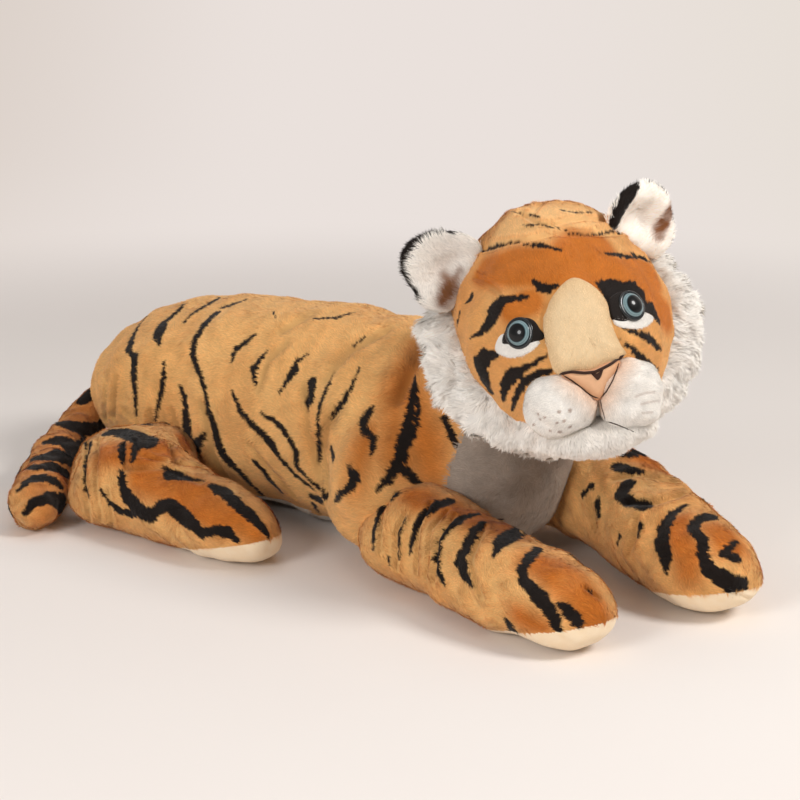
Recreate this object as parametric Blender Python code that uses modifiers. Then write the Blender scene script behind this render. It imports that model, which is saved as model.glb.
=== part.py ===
"""Stuffed toy tiger, lying on its belly with its head turned to its right.

Every soft piece is a sewn plush cover over its own filling. The head, the four legs, the tail
and the two ears each turn in the seam that joins them to the body or to the head.

Metres, +Z up, +X towards the front paws, +Y to the tiger's left. The origin is on the floor,
under the belly.
"""
import math

import bmesh
import bpy
from mathutils import Matrix, Vector

# Fit and fabric
CLEARANCE = 0.0003
PLUSH_THICKNESS = 0.004
FILLING_GAP = 0.0004
FLAT_DEPTH = 0.0005
OVERRUN = 0.02
SOLID_SIDES = 12
BALL_SIDES = 10
MERGE_DISTANCE = 0.00001
# Shares of its swing at which a limb is made to clear the torso
SWING_SHARES = (0.5, 1.0)
SEAM_HOLE_SHARE = 0.6

# Torso
TORSO_LENGTH = 0.676
TORSO_WIDTH = 0.238
TORSO_HEIGHT = 0.242
TORSO_ORIGIN_SHARE = 0.579
TORSO_SIDES = 8
# Share of the length, of the half width, of the half height, and of the height at the centre
TORSO_STATION_SHARES = (
    (0.000, 0.22, 0.18, 0.34),
    (0.018, 0.62, 0.46, 0.335),
    (0.085, 0.90, 0.70, 0.380),
    (0.220, 1.00, 0.90, 0.450),
    (0.480, 1.00, 0.99, 0.492),
    (0.800, 0.93, 0.99, 0.495),
    (0.965, 0.76, 0.84, 0.470),
    (1.000, 0.34, 0.40, 0.460),
)
TORSO_SQUARENESS = 0.8
BELLY_SEAM_HEIGHT = 0.024
CHEST_SEAM_BACK = 0.046
CHEST_SEAM_TILT = math.radians(12)

# Front legs: the shoulder ball, then the leg's path from it
SHOULDER_FORWARD = 0.140
SHOULDER_SIDE = 0.072
SHOULDER_HEIGHT = 0.080
SHOULDER_RADIUS = 0.060
FRONT_LEG_LENGTH = 0.345
FRONT_LEG_WIDTH = 0.106
FRONT_LEG_HEIGHT = 0.104
FRONT_LEG_SIDES = 6
# Share of the length ahead and outwards, of the height at the centre, half width, half height
RIGHT_LEG_PATH_SHARES = (
    (0.000, 0.000, 0.72, 0.66, 0.66),
    (0.170, 0.072, 0.55, 1.04, 1.04),
    (0.440, 0.148, 0.45, 0.98, 0.90),
    (0.730, 0.182, 0.43, 1.02, 0.85),
    (0.910, 0.186, 0.38, 0.90, 0.70),
    (0.985, 0.188, 0.33, 0.34, 0.26),
)
LEFT_LEG_PATH_SHARES = (
    (0.000, 0.000, 0.74, 0.66, 0.66),
    (0.220, 0.110, 0.67, 1.06, 1.10),
    (0.500, 0.098, 0.56, 1.06, 1.08),
    (0.840, -0.070, 0.45, 1.06, 0.92),
    (1.025, -0.135, 0.40, 0.96, 0.80),
    (1.100, -0.162, 0.34, 0.36, 0.28),
)
FRONT_SWING = math.radians(18)

# Hind legs: the hip ball beside the heel, then the leg from heel to toe
HIP_BACK = 0.190
HIP_SIDE = 0.096
HIP_HEIGHT = 0.066
HIP_RADIUS = 0.054
HIND_LEG_LENGTH = 0.304
HIND_LEG_WIDTH = 0.126
HIND_LEG_HEIGHT = 0.108
HIND_LEG_SIDES = 6
HEEL_BACK = 0.209
HEEL_SIDE = 0.180
# Share of the length ahead, of the width outwards, of the height at the centre, half sizes
HIND_LEG_PATH_SHARES = (
    (0.000, 0.02, 0.46, 0.44, 0.44),
    (0.035, 0.04, 0.47, 0.84, 0.86),
    (0.200, 0.08, 0.48, 1.02, 1.00),
    (0.500, 0.15, 0.39, 0.84, 0.80),
    (0.830, 0.15, 0.33, 0.73, 0.66),
    (0.982, 0.12, 0.27, 0.40, 0.38),
)
HIND_SWING = math.radians(14)

# How square the lower half of a leg is where its weight flattens it: 1 is round
LEG_SQUARENESS = 0.62

# Soles: how high each pad reaches at the toe, and how it slopes back to the floor
SOLE_HEIGHT = 0.024
SOLE_TILT = math.radians(15)

# Tail
TAIL_ROOT_BACK = 0.385
TAIL_ROOT_SIDE = 0.022
TAIL_ROOT_HEIGHT = 0.098
TAIL_ROOT_RADIUS = 0.025
TAIL_LENGTH = 0.300
TAIL_WIDTH = 0.058
TAIL_SIDES = 6
# Share of the length ahead, outwards, of the width up, and of the half width
TAIL_PATH_SHARES = (
    (0.000, 0.000, 1.55, 0.74),
    (-0.018, 0.120, 1.06, 0.84),
    (0.025, 0.265, 0.68, 0.92),
    (0.205, 0.480, 0.54, 1.00),
    (0.470, 0.740, 0.53, 1.08),
    (0.655, 0.905, 0.52, 1.06),
    (0.722, 0.962, 0.50, 0.50),
)
TAIL_SWING = math.radians(25)

# Head: a ball that sits in the torso's front, with crown and snout swelling out of it
HEAD_RADIUS = 0.118
HEAD_AHEAD = 0.326
HEAD_RIGHT = 0.023
HEAD_HEIGHT = 0.267
HEAD_YAW = math.radians(-41.7)
HEAD_PITCH = math.radians(10)
HEAD_ROLL = math.radians(13)
HEAD_SIDES = 16
CROWN_SWELL = 0.008
SNOUT_SWELL = 0.026
SNOUT_DROP = math.radians(20)
SNOUT_SPREAD = math.radians(21)
FACE_SEAM_AHEAD = 0.018
NECK_RADIUS = 0.059

# Ruff: a fur collar round the face, from below each ear to the chin
RUFF_RING_RADIUS = 0.117
RUFF_THICKNESS = 0.064
RUFF_DEPTH = 0.050
RUFF_LEAN = math.radians(33)
RUFF_TOP = math.radians(28)
RUFF_SIDES = 6
# Share of the way from top to chin, and of the ruff's thickness and depth there
RUFF_STATION_SHARES = (
    (0.00, 0.40, 0.40),
    (0.04, 0.66, 0.62),
    (0.25, 0.95, 0.90),
    (0.50, 1.00, 1.00),
    (0.75, 0.96, 1.00),
    (1.00, 0.92, 0.96),
)

# Muzzle pads, chin, nose and nose bridge, all on the snout
MUZZLE_WIDTH = 0.069
MUZZLE_HEIGHT = 0.064
MUZZLE_DEPTH = 0.054
MUZZLE_AHEAD = 0.124
MUZZLE_DROP = 0.060
CHIN_WIDTH = 0.058
CHIN_HEIGHT = 0.026
CHIN_DEPTH = 0.050
CHIN_AHEAD = 0.106
CHIN_DROP = 0.098
BRIDGE_THICKNESS = 0.003
BRIDGE_TOP = math.radians(23)
BRIDGE_BOTTOM = math.radians(-12)
BRIDGE_WIDTH = 0.060
# Share of the way down and of the width there
BRIDGE_WIDTH_SHARES = ((0.0, 0.34), (0.12, 0.62), (0.35, 0.84), (0.62, 1.0), (1.0, 0.94))
BRIDGE_ROWS = 8
BRIDGE_COLUMNS = 4
NOSE_WIDTH = 0.060
NOSE_HEIGHT = 0.034
NOSE_DEPTH = 0.016
NOSE_AHEAD = 0.143
NOSE_DROP = 0.026
NOSE_MIDDLE_SHARE = 0.35
# Share of the width and of the height, round the nose
NOSE_OUTLINE_SHARES = (
    (-0.50, 0.00),
    (-0.46, -0.20),
    (-0.20, -0.68),
    (0.00, -1.00),
    (0.20, -0.68),
    (0.46, -0.20),
    (0.50, 0.00),
    (0.25, 0.06),
    (-0.25, 0.06),
)
# Share of the depth, and of the outline's size there
NOSE_LAYER_SHARES = ((-0.7, 0.96), (0.1, 1.0), (0.3, 0.72))

# Eyes: a clear dome on a dark base, whose shank goes through the cover into a lock washer
EYE_SIDE = math.radians(25)
EYE_RISE = math.radians(6.5)
EYE_DIAMETER = 0.026
EYE_DOME_HEIGHT = 0.008
EYE_DOME_RIM = 0.0012
EYE_DOME_RINGS = 4
EYE_BASE_DIAMETER = 0.030
EYE_BASE_THICKNESS = 0.003
EYE_SINK = 0.0012
CLAMPED_PLUSH = 0.0025
SHANK_DIAMETER = 0.006
SHANK_LENGTH = 0.014
WASHER_DIAMETER = 0.020
WASHER_THICKNESS = 0.002
PATCH_THICKNESS = 0.002
PATCH_REACH = 0.014
PATCH_FROM = math.radians(190)
PATCH_TO = math.radians(350)
LID_REACH = 0.012
LID_FROM = math.radians(10)
LID_TO = math.radians(170)
CRESCENT_END_SHARE = 0.25
CRESCENT_STEPS = 8

# Ears
EAR_WIDTH = 0.084
EAR_HEIGHT = 0.055
EAR_THICKNESS = 0.026
EAR_SIDE = math.radians(48)
EAR_AHEAD = math.radians(3)
EAR_SHIFT = 0.006
EAR_TURN_OUT = {"right": math.radians(6), "left": math.radians(38)}
EAR_HOLLOW_RADIUS = 0.050
EAR_HOLLOW_DEPTH = 0.007
EAR_HOLLOW_HEIGHT = 0.022
# Share of the height above the head, of the half width and of the half thickness
EAR_STATION_SHARES = (
    (-0.26, 0.92, 0.46),
    (0.10, 1.02, 0.80),
    (0.45, 0.94, 1.00),
    (0.82, 0.62, 0.80),
    (1.00, 0.24, 0.40),
)
EAR_SIDES = 6
EAR_FOLD = math.radians(15)

COLOURS = {
    "striped_plush": (0.70, 0.38, 0.13),
    "white_plush": (0.88, 0.85, 0.80),
    "cream_plush": (0.86, 0.68, 0.46),
    "sole_fabric": (0.84, 0.74, 0.62),
    "nose_suede": (0.76, 0.46, 0.31),
    "dark_plush": (0.05, 0.04, 0.04),
    "filling": (0.92, 0.92, 0.90),
    "clear_eye": (0.42, 0.52, 0.54),
    "dark_plastic": (0.03, 0.03, 0.03),
}
ROUGHNESS = {"clear_eye": 0.05, "dark_plastic": 0.35, "nose_suede": 0.7}


def clear_scene():
    for item in list(bpy.data.objects):
        bpy.data.objects.remove(item)


def new_collection(name):
    group = bpy.data.collections.new(name)
    bpy.context.scene.collection.children.link(group)
    return group


def new_material(name):
    material = bpy.data.materials.new(name)
    material.use_nodes = True
    shader = material.node_tree.nodes["Principled BSDF"]
    shader.inputs["Base Color"].default_value = (*COLOURS[name], 1)
    shader.inputs["Roughness"].default_value = ROUGHNESS.get(name, 0.9)
    shader.inputs["Metallic"].default_value = 0
    material.diffuse_color = (*COLOURS[name], 1)
    return material


def evaluated_mesh(item):
    """The object's mesh with its modifiers applied, in its own coordinates."""
    graph = bpy.context.evaluated_depsgraph_get()
    return bpy.data.meshes.new_from_object(item.evaluated_get(graph))


def part(name, mesh, material, holder=None):
    """A sub-part: its own object, carried by its joint's empty where it moves."""
    item = bpy.data.objects.new(name, mesh)
    item.data.materials.clear()
    item.data.materials.append(MATERIALS[material])
    PARTS.objects.link(item)
    item.parent = holder
    return item


def cutter(name, mesh, holder=None):
    """A helper solid that only cuts or joins, left out of the model."""
    item = bpy.data.objects.new(name, mesh)
    CUTTERS.objects.link(item)
    item.hide_render = True
    item.display_type = "WIRE"
    item.parent = holder
    return item


def empty_at(name, matrix):
    item = bpy.data.objects.new(name, None)
    PARTS.objects.link(item)
    item.matrix_world = matrix
    item.empty_display_size = HIP_RADIUS
    return item


def swell(item, amount):
    """Moves the surface along its normals, outwards where amount is positive."""
    modifier = item.modifiers.new("swell", "DISPLACE")
    modifier.mid_level = 0
    modifier.strength = amount
    return item


def boolean(item, other, operation):
    modifier = item.modifiers.new(f"{operation.lower()} {other.name}", "BOOLEAN")
    modifier.operation = operation
    modifier.solver = "EXACT"
    modifier.object = other
    return item


def cut(item, *others):
    for other in others:
        boolean(item, other, "DIFFERENCE")
    return item


def join(item, other):
    return boolean(item, other, "UNION")


def keep_in(item, region):
    return boolean(item, region, "INTERSECT")


def mesh_from(bm, name):
    bmesh.ops.recalc_face_normals(bm, faces=bm.faces)
    mesh = bpy.data.meshes.new(name)
    bm.to_mesh(mesh)
    bm.free()
    mesh.shade_smooth()
    return mesh


def triangulated(mesh):
    """The mesh in triangles, so that its swollen and shrunken copies have the same folds."""
    bm = bmesh.new()
    bm.from_mesh(mesh)
    bmesh.ops.triangulate(bm, faces=bm.faces)
    return mesh_from(bm, mesh.name)


def ball_mesh(name, radius, sides):
    bm = bmesh.new()
    bmesh.ops.create_uvsphere(bm, u_segments=sides, v_segments=sides // 2, radius=radius)
    return mesh_from(bm, name)


def rod_mesh(name, radius, bottom, top, sides=SOLID_SIDES):
    """A cylinder along Z between two heights."""
    bm = bmesh.new()
    bmesh.ops.create_cone(
        bm,
        cap_ends=True,
        segments=sides,
        radius1=radius,
        radius2=radius,
        depth=top - bottom,
        matrix=Matrix.Translation((0, 0, (top + bottom) / 2)),
    )
    return mesh_from(bm, name)


def block_mesh(name, low, high):
    """A box between two corners."""
    bm = bmesh.new()
    bmesh.ops.create_cube(bm, size=1)
    low, high = Vector(low), Vector(high)
    for vertex in bm.verts:
        vertex.co = Vector(
            high[axis] if vertex.co[axis] > 0 else low[axis] for axis in range(3)
        )
    return mesh_from(bm, name)


def ring_points(centre, ahead, half_width, half_height, sides, squareness):
    """One ring square to the path. Its lower half is squarer than its upper half."""
    side = Vector((0, 0, 1)).cross(ahead).normalized()
    rise = ahead.cross(side).normalized()
    flat_first = 0 if sides % 4 else 1 / 2
    points = []
    for number in range(sides):
        angle = 2 * math.pi * (number + flat_first) / sides
        across, up = math.cos(angle), math.sin(angle)
        if up < 0:
            across = math.copysign(abs(across) ** squareness, across)
            up = math.copysign(abs(up) ** squareness, up)
        points.append(centre + side * across * half_width + rise * up * half_height)
    return points


def closed_loft(rings):
    """A closed body through rings of as many points each, with a face over each end."""
    bm = bmesh.new()
    loops = [[bm.verts.new(point) for point in ring] for ring in rings]
    count = len(rings[0])
    for first, second in zip(loops, loops[1:]):
        for number in range(count):
            following = (number + 1) % count
            bm.faces.new(
                (first[number], first[following], second[following], second[number])
            )
    bm.faces.new(reversed(loops[0]))
    bm.faces.new(loops[-1])
    return bm


def fullness(sides):
    """How much of its cage's size a subdivided ring keeps."""
    return (6 + 2 * math.cos(2 * math.pi / sides)) / 8


def subdivided(bm, name):
    """The smooth form that a coarse cage gives, in triangles."""
    cage = cutter(name + "_cage", mesh_from(bm, name + "_cage"))
    modifier = cage.modifiers.new("subdivision", "SUBSURF")
    modifier.levels = 1
    modifier.render_levels = 1
    form = evaluated_mesh(cage)
    form.name = name
    bpy.data.objects.remove(cage)
    return triangulated(form)


def soft_form(name, stations, sides, origin=Vector(), squareness=1):
    """A stuffed form through rings of (centre, half width, half height).

    It is lowered so that its belly dips into the floor. Its coordinates are relative to origin.
    """
    full = fullness(sides)
    rings = []
    for number, (centre, half_width, half_height) in enumerate(stations):
        before = stations[max(number - 1, 0)][0]
        after = stations[min(number + 1, len(stations) - 1)][0]
        ahead = (after - before).normalized()
        rings.append(
            ring_points(centre, ahead, half_width / full, half_height / full, sides, squareness)
        )
    form = subdivided(closed_loft(rings), name)
    drop = min(vertex.co.z for vertex in form.vertices) + FLAT_DEPTH
    form.transform(Matrix.Translation(-origin - Vector((0, 0, drop))))
    return form


def plain_copy(mesh, name):
    copy = mesh.copy()
    copy.name = name
    return copy


def floor_block(level):
    reach = TORSO_LENGTH + HIND_LEG_LENGTH
    mesh = block_mesh("below_floor", (-reach, -reach, -reach), (reach, reach, level))
    return cutter("below_floor", mesh)


def torso_stations():
    stations = []
    for along, width, height, centre in TORSO_STATION_SHARES:
        place = Vector(
            ((along - TORSO_ORIGIN_SHARE) * TORSO_LENGTH, 0, centre * TORSO_HEIGHT)
        )
        stations.append((place, width * TORSO_WIDTH / 2, height * TORSO_HEIGHT / 2))
    return stations


def chest_region(name, extra):
    """Everything ahead of the slanted seam of the white chest."""
    seam = (1 - TORSO_ORIGIN_SHARE) * TORSO_LENGTH - CHEST_SEAM_BACK
    reach = TORSO_LENGTH
    mesh = block_mesh(name, (-extra, -reach, -reach), (reach, reach, reach))
    item = cutter(name, mesh)
    item.matrix_world = Matrix.Translation((seam, 0, TORSO_HEIGHT / 2)) @ Matrix.Rotation(
        CHEST_SEAM_TILT, 4, "Y"
    )
    return item


def belly_region(name, extra):
    """Everything below the white belly's seam."""
    reach = TORSO_LENGTH
    mesh = block_mesh(name, (-reach, -reach, -reach), (reach, reach, BELLY_SEAM_HEIGHT + extra))
    return cutter(name, mesh)


def build_torso(sockets):
    """The striped cover, the white belly and chest panels, and the filling inside them."""
    form = soft_form(
        "torso_form", torso_stations(), TORSO_SIDES, squareness=TORSO_SQUARENESS
    )
    core = swell(cutter("torso_core", plain_copy(form, "torso_core")), -PLUSH_THICKNESS)
    regions = {
        "chest": chest_region("chest_region", 0),
        "chest_seam": chest_region("chest_seam", CLEARANCE),
        "belly": belly_region("belly_region", 0),
        "belly_seam": belly_region("belly_seam", CLEARANCE),
    }
    cover = part("torso_cover", plain_copy(form, "torso_cover"), "striped_plush")
    cut(cover, core, *sockets, regions["chest_seam"], regions["belly_seam"])
    chest = part("chest_panel", plain_copy(form, "chest_panel"), "white_plush")
    keep_in(cut(chest, core, *sockets, FLOOR), regions["chest"])
    belly = part("belly_panel", plain_copy(form, "belly_panel"), "white_plush")
    keep_in(cut(belly, core, *sockets, FLOOR, regions["chest_seam"]), regions["belly"])
    filling = part("torso_filling", plain_copy(form, "torso_filling"), "filling")
    cut(swell(filling, -PLUSH_THICKNESS - FILLING_GAP), *sockets)
    return swell(cutter("torso_room", plain_copy(form, "torso_room")), CLEARANCE)


def ball_socket(name, centre, radius, sides):
    """The hollow in the torso that a limb's round root turns in.

    Its facets stand midway between those of the ball and are wide enough to clear its corners
    at every turn about their upright axis.
    """
    mesh = ball_mesh(name, radius + CLEARANCE, sides)
    widen = 1 / math.cos(math.pi / sides)
    half_facet = Matrix.Rotation(math.pi / sides, 4, "Z")
    mesh.transform(half_facet @ Matrix.Diagonal((widen, widen, 1, 1)))
    socket = cutter(name, mesh)
    socket.location = centre
    return socket


def sole_region(name, toe, heading, extra):
    """Everything below a plane that slopes back from the toe to the floor."""
    reach = FRONT_LEG_LENGTH
    mesh = block_mesh(name, (-reach, -reach, -reach), (reach, reach, extra))
    item = cutter(name, mesh)
    level = Vector((toe.x, toe.y, SOLE_HEIGHT))
    turn = Matrix.Rotation(heading, 4, "Z") @ Matrix.Rotation(-SOLE_TILT, 4, "Y")
    item.matrix_world = Matrix.Translation(level) @ turn
    return item


def build_limb(name, form, centre, radius, swing, torso_room, toe=None, heading=0.0):
    """A limb's cover and filling: the form outside the torso, joined to its round root.

    It clears the torso at rest and wherever its swing about its upright axis takes it.
    """
    sides = BALL_SIDES
    holder = empty_at(name + "_joint", Matrix.Translation(centre))
    rooms = [torso_room]
    for share in SWING_SHARES:
        room = cutter(f"{name}_swing_room", torso_room.data)
        swell(room, CLEARANCE)
        back = Matrix.Translation(centre) @ Matrix.Rotation(-swing * share, 4, "Z")
        room.matrix_world = back @ Matrix.Translation(-centre)
        rooms.append(room)
    inward = Vector((0, -centre.y, 0)).normalized()
    if name == "tail":
        inward = Vector((1, 0, 0))
    core = cutter(name + "_core", plain_copy(form, name + "_core"), holder)
    swell(core, -PLUSH_THICKNESS)
    ball = cutter(name + "_ball", ball_mesh(name + "_ball", radius, sides), holder)
    ball_core = cutter(
        name + "_ball_core",
        ball_mesh(name + "_ball_core", radius - PLUSH_THICKNESS, sides),
        holder,
    )
    seam_hole = cutter(
        name + "_seam_hole",
        rod_mesh(name + "_seam_hole", radius * SEAM_HOLE_SHARE, 0, radius + OVERRUN),
        holder,
    )
    seam_hole.rotation_euler = inward.to_track_quat("Z", "Y").to_euler()

    cover = part(name + "_cover", plain_copy(form, name + "_cover"), "striped_plush", holder)
    join(cut(cover, *rooms), ball)
    cut(cover, core, ball_core, seam_hole, FLOOR)
    if toe is not None:
        region = sole_region(name + "_sole_region", toe, heading, 0)
        seam = sole_region(name + "_sole_seam", toe, heading, CLEARANCE)
        cut(cover, seam)
        sole = part(name + "_sole", plain_copy(form, name + "_sole"), "sole_fabric", holder)
        keep_in(cut(sole, core, FLOOR), region)

    filling = part(name + "_filling", plain_copy(form, name + "_filling"), "filling", holder)
    cut(swell(filling, -PLUSH_THICKNESS - FILLING_GAP), *rooms)
    ball_filling = cutter(
        name + "_ball_filling",
        ball_mesh(name + "_ball_filling", radius - PLUSH_THICKNESS - FILLING_GAP, sides),
        holder,
    )
    join(filling, ball_filling)
    return holder


def front_leg_stations(shares, side):
    """Rings of a front leg. side is +1 on the tiger's left and -1 on its right."""
    stations = []
    for ahead, out, up, width, height in shares:
        place = Vector(
            (
                SHOULDER_FORWARD + ahead * FRONT_LEG_LENGTH,
                side * (SHOULDER_SIDE + out * FRONT_LEG_LENGTH),
                up * FRONT_LEG_HEIGHT,
            )
        )
        half_width = width * FRONT_LEG_WIDTH / 2
        stations.append((place, half_width, height * FRONT_LEG_HEIGHT / 2))
    return stations


def hind_leg_stations(side):
    stations = []
    for ahead, out, up, width, height in HIND_LEG_PATH_SHARES:
        place = Vector(
            (
                ahead * HIND_LEG_LENGTH - HEEL_BACK,
                side * (HEEL_SIDE + out * HIND_LEG_WIDTH),
                up * HIND_LEG_HEIGHT,
            )
        )
        half_width = width * HIND_LEG_WIDTH / 2
        stations.append((place, half_width, height * HIND_LEG_HEIGHT / 2))
    return stations


def tail_stations():
    stations = []
    for ahead, out, up, width in TAIL_PATH_SHARES:
        place = Vector(
            (
                ahead * TAIL_LENGTH - TAIL_ROOT_BACK,
                -TAIL_ROOT_SIDE - out * TAIL_LENGTH,
                up * TAIL_WIDTH,
            )
        )
        stations.append((place, width * TAIL_WIDTH / 2, width * TAIL_WIDTH / 2))
    return stations


def toe_and_heading(stations):
    """Where a leg's last ring is, and the heading of its last stretch seen from above."""
    last, earlier = stations[-1][0], stations[-4][0]
    return last, math.atan2(last.y - earlier.y, last.x - earlier.x)


def head_matrix():
    place = Matrix.Translation((HEAD_AHEAD, -HEAD_RIGHT, HEAD_HEIGHT))
    turn = Matrix.Rotation(HEAD_YAW, 4, "Z") @ Matrix.Rotation(-HEAD_PITCH, 4, "Y")
    return place @ turn @ Matrix.Rotation(HEAD_ROLL, 4, "X")


def head_surface(direction):
    """The head's surface in a direction from its centre: a ball, a fuller crown and a snout."""
    direction = direction.normalized()
    crown = CROWN_SWELL * max(direction.z, 0) ** 2
    snout = Vector((math.cos(SNOUT_DROP), 0, -math.sin(SNOUT_DROP)))
    away = direction.angle(snout) / SNOUT_SPREAD
    return HEAD_RADIUS + crown + SNOUT_SWELL * math.exp(-(away**2) / 2)


def on_head(side_angle, rise_angle):
    """The point of the head's surface that lies to one side and up, by two angles."""
    direction = Vector(
        (
            math.cos(rise_angle) * math.cos(side_angle),
            math.cos(rise_angle) * math.sin(side_angle),
            math.sin(rise_angle),
        )
    )
    return direction * head_surface(direction)


def head_form():
    """The head's surface, with its facets upright like those of its socket."""
    mesh = ball_mesh("head_form", HEAD_RADIUS, HEAD_SIDES)
    mesh.transform(head_matrix().to_3x3().inverted().to_4x4())
    for vertex in mesh.vertices:
        vertex.co = vertex.co.normalized() * head_surface(vertex.co)
    return triangulated(mesh)


def face_region(name, extra):
    reach = HEAD_RADIUS * 2
    low = (FACE_SEAM_AHEAD - extra, -reach, -reach)
    return cutter(name, block_mesh(name, low, (reach, reach, reach)), HEAD)


def neck_opening():
    """The hole where the head's cover is sewn to the torso's."""
    mesh = rod_mesh("neck_opening", NECK_RADIUS, 0, HEAD_RADIUS + OVERRUN)
    item = cutter("neck_opening", mesh, HEAD)
    to_torso = head_matrix().inverted().to_3x3() @ Vector((-1, 0, -1))
    item.rotation_euler = to_torso.to_track_quat("Z", "Y").to_euler()
    return item


def eye_axis(side):
    """A frame on the head's surface at an eye, with Z along the eye's axis."""
    place = on_head(side * EYE_SIDE, EYE_RISE)
    step = math.radians(3)
    across = on_head(side * EYE_SIDE + step, EYE_RISE) - on_head(side * EYE_SIDE - step, EYE_RISE)
    rise = on_head(side * EYE_SIDE, EYE_RISE + step) - on_head(side * EYE_SIDE, EYE_RISE - step)
    normal = across.cross(rise).normalized()
    right = across.normalized()
    up = normal.cross(right)
    turn = Matrix((right, up, normal)).transposed().to_4x4()
    return Matrix.Translation(place) @ turn


def turned(name, profile, sides):
    """A solid of revolution about Z from a profile that runs down its outer side."""
    mesh = bpy.data.meshes.new(name)
    points = [(radius, 0, height) for radius, height in profile]
    edges = [(number, number + 1) for number in range(len(points) - 1)]
    if profile[0][0] > 0:
        edges.append((len(points) - 1, 0))
    mesh.from_pydata(points, edges, [])
    item = cutter(name, mesh)
    modifier = item.modifiers.new("turn", "SCREW")
    modifier.axis = "Z"
    modifier.steps = sides
    modifier.render_steps = sides
    modifier.use_merge_vertices = True
    modifier.merge_threshold = MERGE_DISTANCE
    bm = bmesh.new()
    bm.from_mesh(evaluated_mesh(item))
    bpy.data.objects.remove(item)
    return mesh_from(bm, name)


def build_eye(side, label):
    """Dome, base with its shank, and the lock washer behind the cover."""
    axis = eye_axis(side)
    base_bottom = -EYE_SINK
    base_top = base_bottom + EYE_BASE_THICKNESS
    shank = SHANK_DIAMETER / 2
    base_profile = (
        (0, base_top),
        (EYE_BASE_DIAMETER / 2 - EYE_BASE_THICKNESS / 2, base_top),
        (EYE_BASE_DIAMETER / 2, base_bottom + EYE_BASE_THICKNESS / 3),
        (EYE_BASE_DIAMETER / 2 - EYE_BASE_THICKNESS / 3, base_bottom),
        (shank, base_bottom),
        (shank, base_bottom - SHANK_LENGTH + shank),
        (shank / 2, base_bottom - SHANK_LENGTH),
        (0, base_bottom - SHANK_LENGTH),
    )
    base = part(
        f"eye_base_{label}", turned("base", base_profile, SOLID_SIDES), "dark_plastic", HEAD
    )
    base.matrix_local = axis
    dome_bottom = base_top + CLEARANCE
    dome_profile = []
    for number in range(EYE_DOME_RINGS + 1):
        angle = math.pi / 2 * number / EYE_DOME_RINGS
        rise = (EYE_DOME_HEIGHT - EYE_DOME_RIM) * math.cos(angle)
        across = EYE_DIAMETER / 2 * math.sin(angle)
        dome_profile.append((across, dome_bottom + EYE_DOME_RIM + rise))
    dome_profile.append((EYE_DIAMETER / 2, dome_bottom))
    dome_profile.append((0, dome_bottom))
    dome = part(f"eye_dome_{label}", turned("dome", dome_profile, SOLID_SIDES), "clear_eye", HEAD)
    dome.matrix_local = axis
    washer_top = base_bottom - CLAMPED_PLUSH - CLEARANCE * 2
    washer_hole = (shank + CLEARANCE) / math.cos(math.pi / SOLID_SIDES)
    washer_profile = (
        (washer_hole, washer_top),
        (WASHER_DIAMETER / 2, washer_top),
        (WASHER_DIAMETER / 2, washer_top - WASHER_THICKNESS),
        (washer_hole, washer_top - WASHER_THICKNESS),
    )
    washer = part(
        f"eye_washer_{label}",
        turned("washer", washer_profile, SOLID_SIDES),
        "dark_plastic",
        HEAD,
    )
    washer.matrix_local = axis
    rooms = {
        "shank_hole": (washer_hole + CLEARANCE, -SHANK_LENGTH, OVERRUN),
        "base_room": (EYE_BASE_DIAMETER / 2 + CLEARANCE, base_bottom - CLEARANCE, OVERRUN),
        "washer_room": (WASHER_DIAMETER / 2 + CLEARANCE, -OVERRUN, washer_top + CLEARANCE),
        "washer_pocket": (
            WASHER_DIAMETER / 2 + FILLING_GAP,
            washer_top - WASHER_THICKNESS - CLEARANCE,
            OVERRUN,
        ),
        "shank_pocket": (
            shank + FILLING_GAP + CLEARANCE,
            base_bottom - SHANK_LENGTH - CLEARANCE,
            OVERRUN,
        ),
    }
    cutters = {}
    for name, (radius, bottom, top) in rooms.items():
        cutters[name] = cutter(f"{name}_{label}", rod_mesh(name, radius, bottom, top), HEAD)
        cutters[name].matrix_local = axis
    in_cover = [cutters[name] for name in ("shank_hole", "base_room", "washer_room")]
    in_filling = [cutters[name] for name in ("washer_pocket", "shank_pocket")]
    return in_cover, in_filling


def surface_sheet(name, rows, thickness, material):
    """A fabric piece that lies on the head: an open grid of points with Solidify."""
    bm = bmesh.new()
    grid = [[bm.verts.new(point) for point in row] for row in rows]
    for first, second in zip(grid, grid[1:]):
        for number in range(len(first) - 1):
            bm.faces.new(
                (first[number], first[number + 1], second[number + 1], second[number])
            )
    bmesh.ops.recalc_face_normals(bm, faces=bm.faces)
    centre = sum((face.calc_center_median() for face in bm.faces), Vector()) / len(bm.faces)
    middle = min(bm.faces, key=lambda face: (face.calc_center_median() - centre).length)
    if middle.normal.dot(centre) < 0:
        bmesh.ops.reverse_faces(bm, faces=bm.faces)
    mesh = bpy.data.meshes.new(name)
    bm.to_mesh(mesh)
    bm.free()
    item = part(name, mesh, material, HEAD)
    modifier = item.modifiers.new("fabric", "SOLIDIFY")
    modifier.thickness = thickness
    modifier.offset = 1
    return item


def above_head(point, gap):
    """The point moved along its direction to lie just above the head's surface."""
    return point.normalized() * (head_surface(point) + gap)


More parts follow.
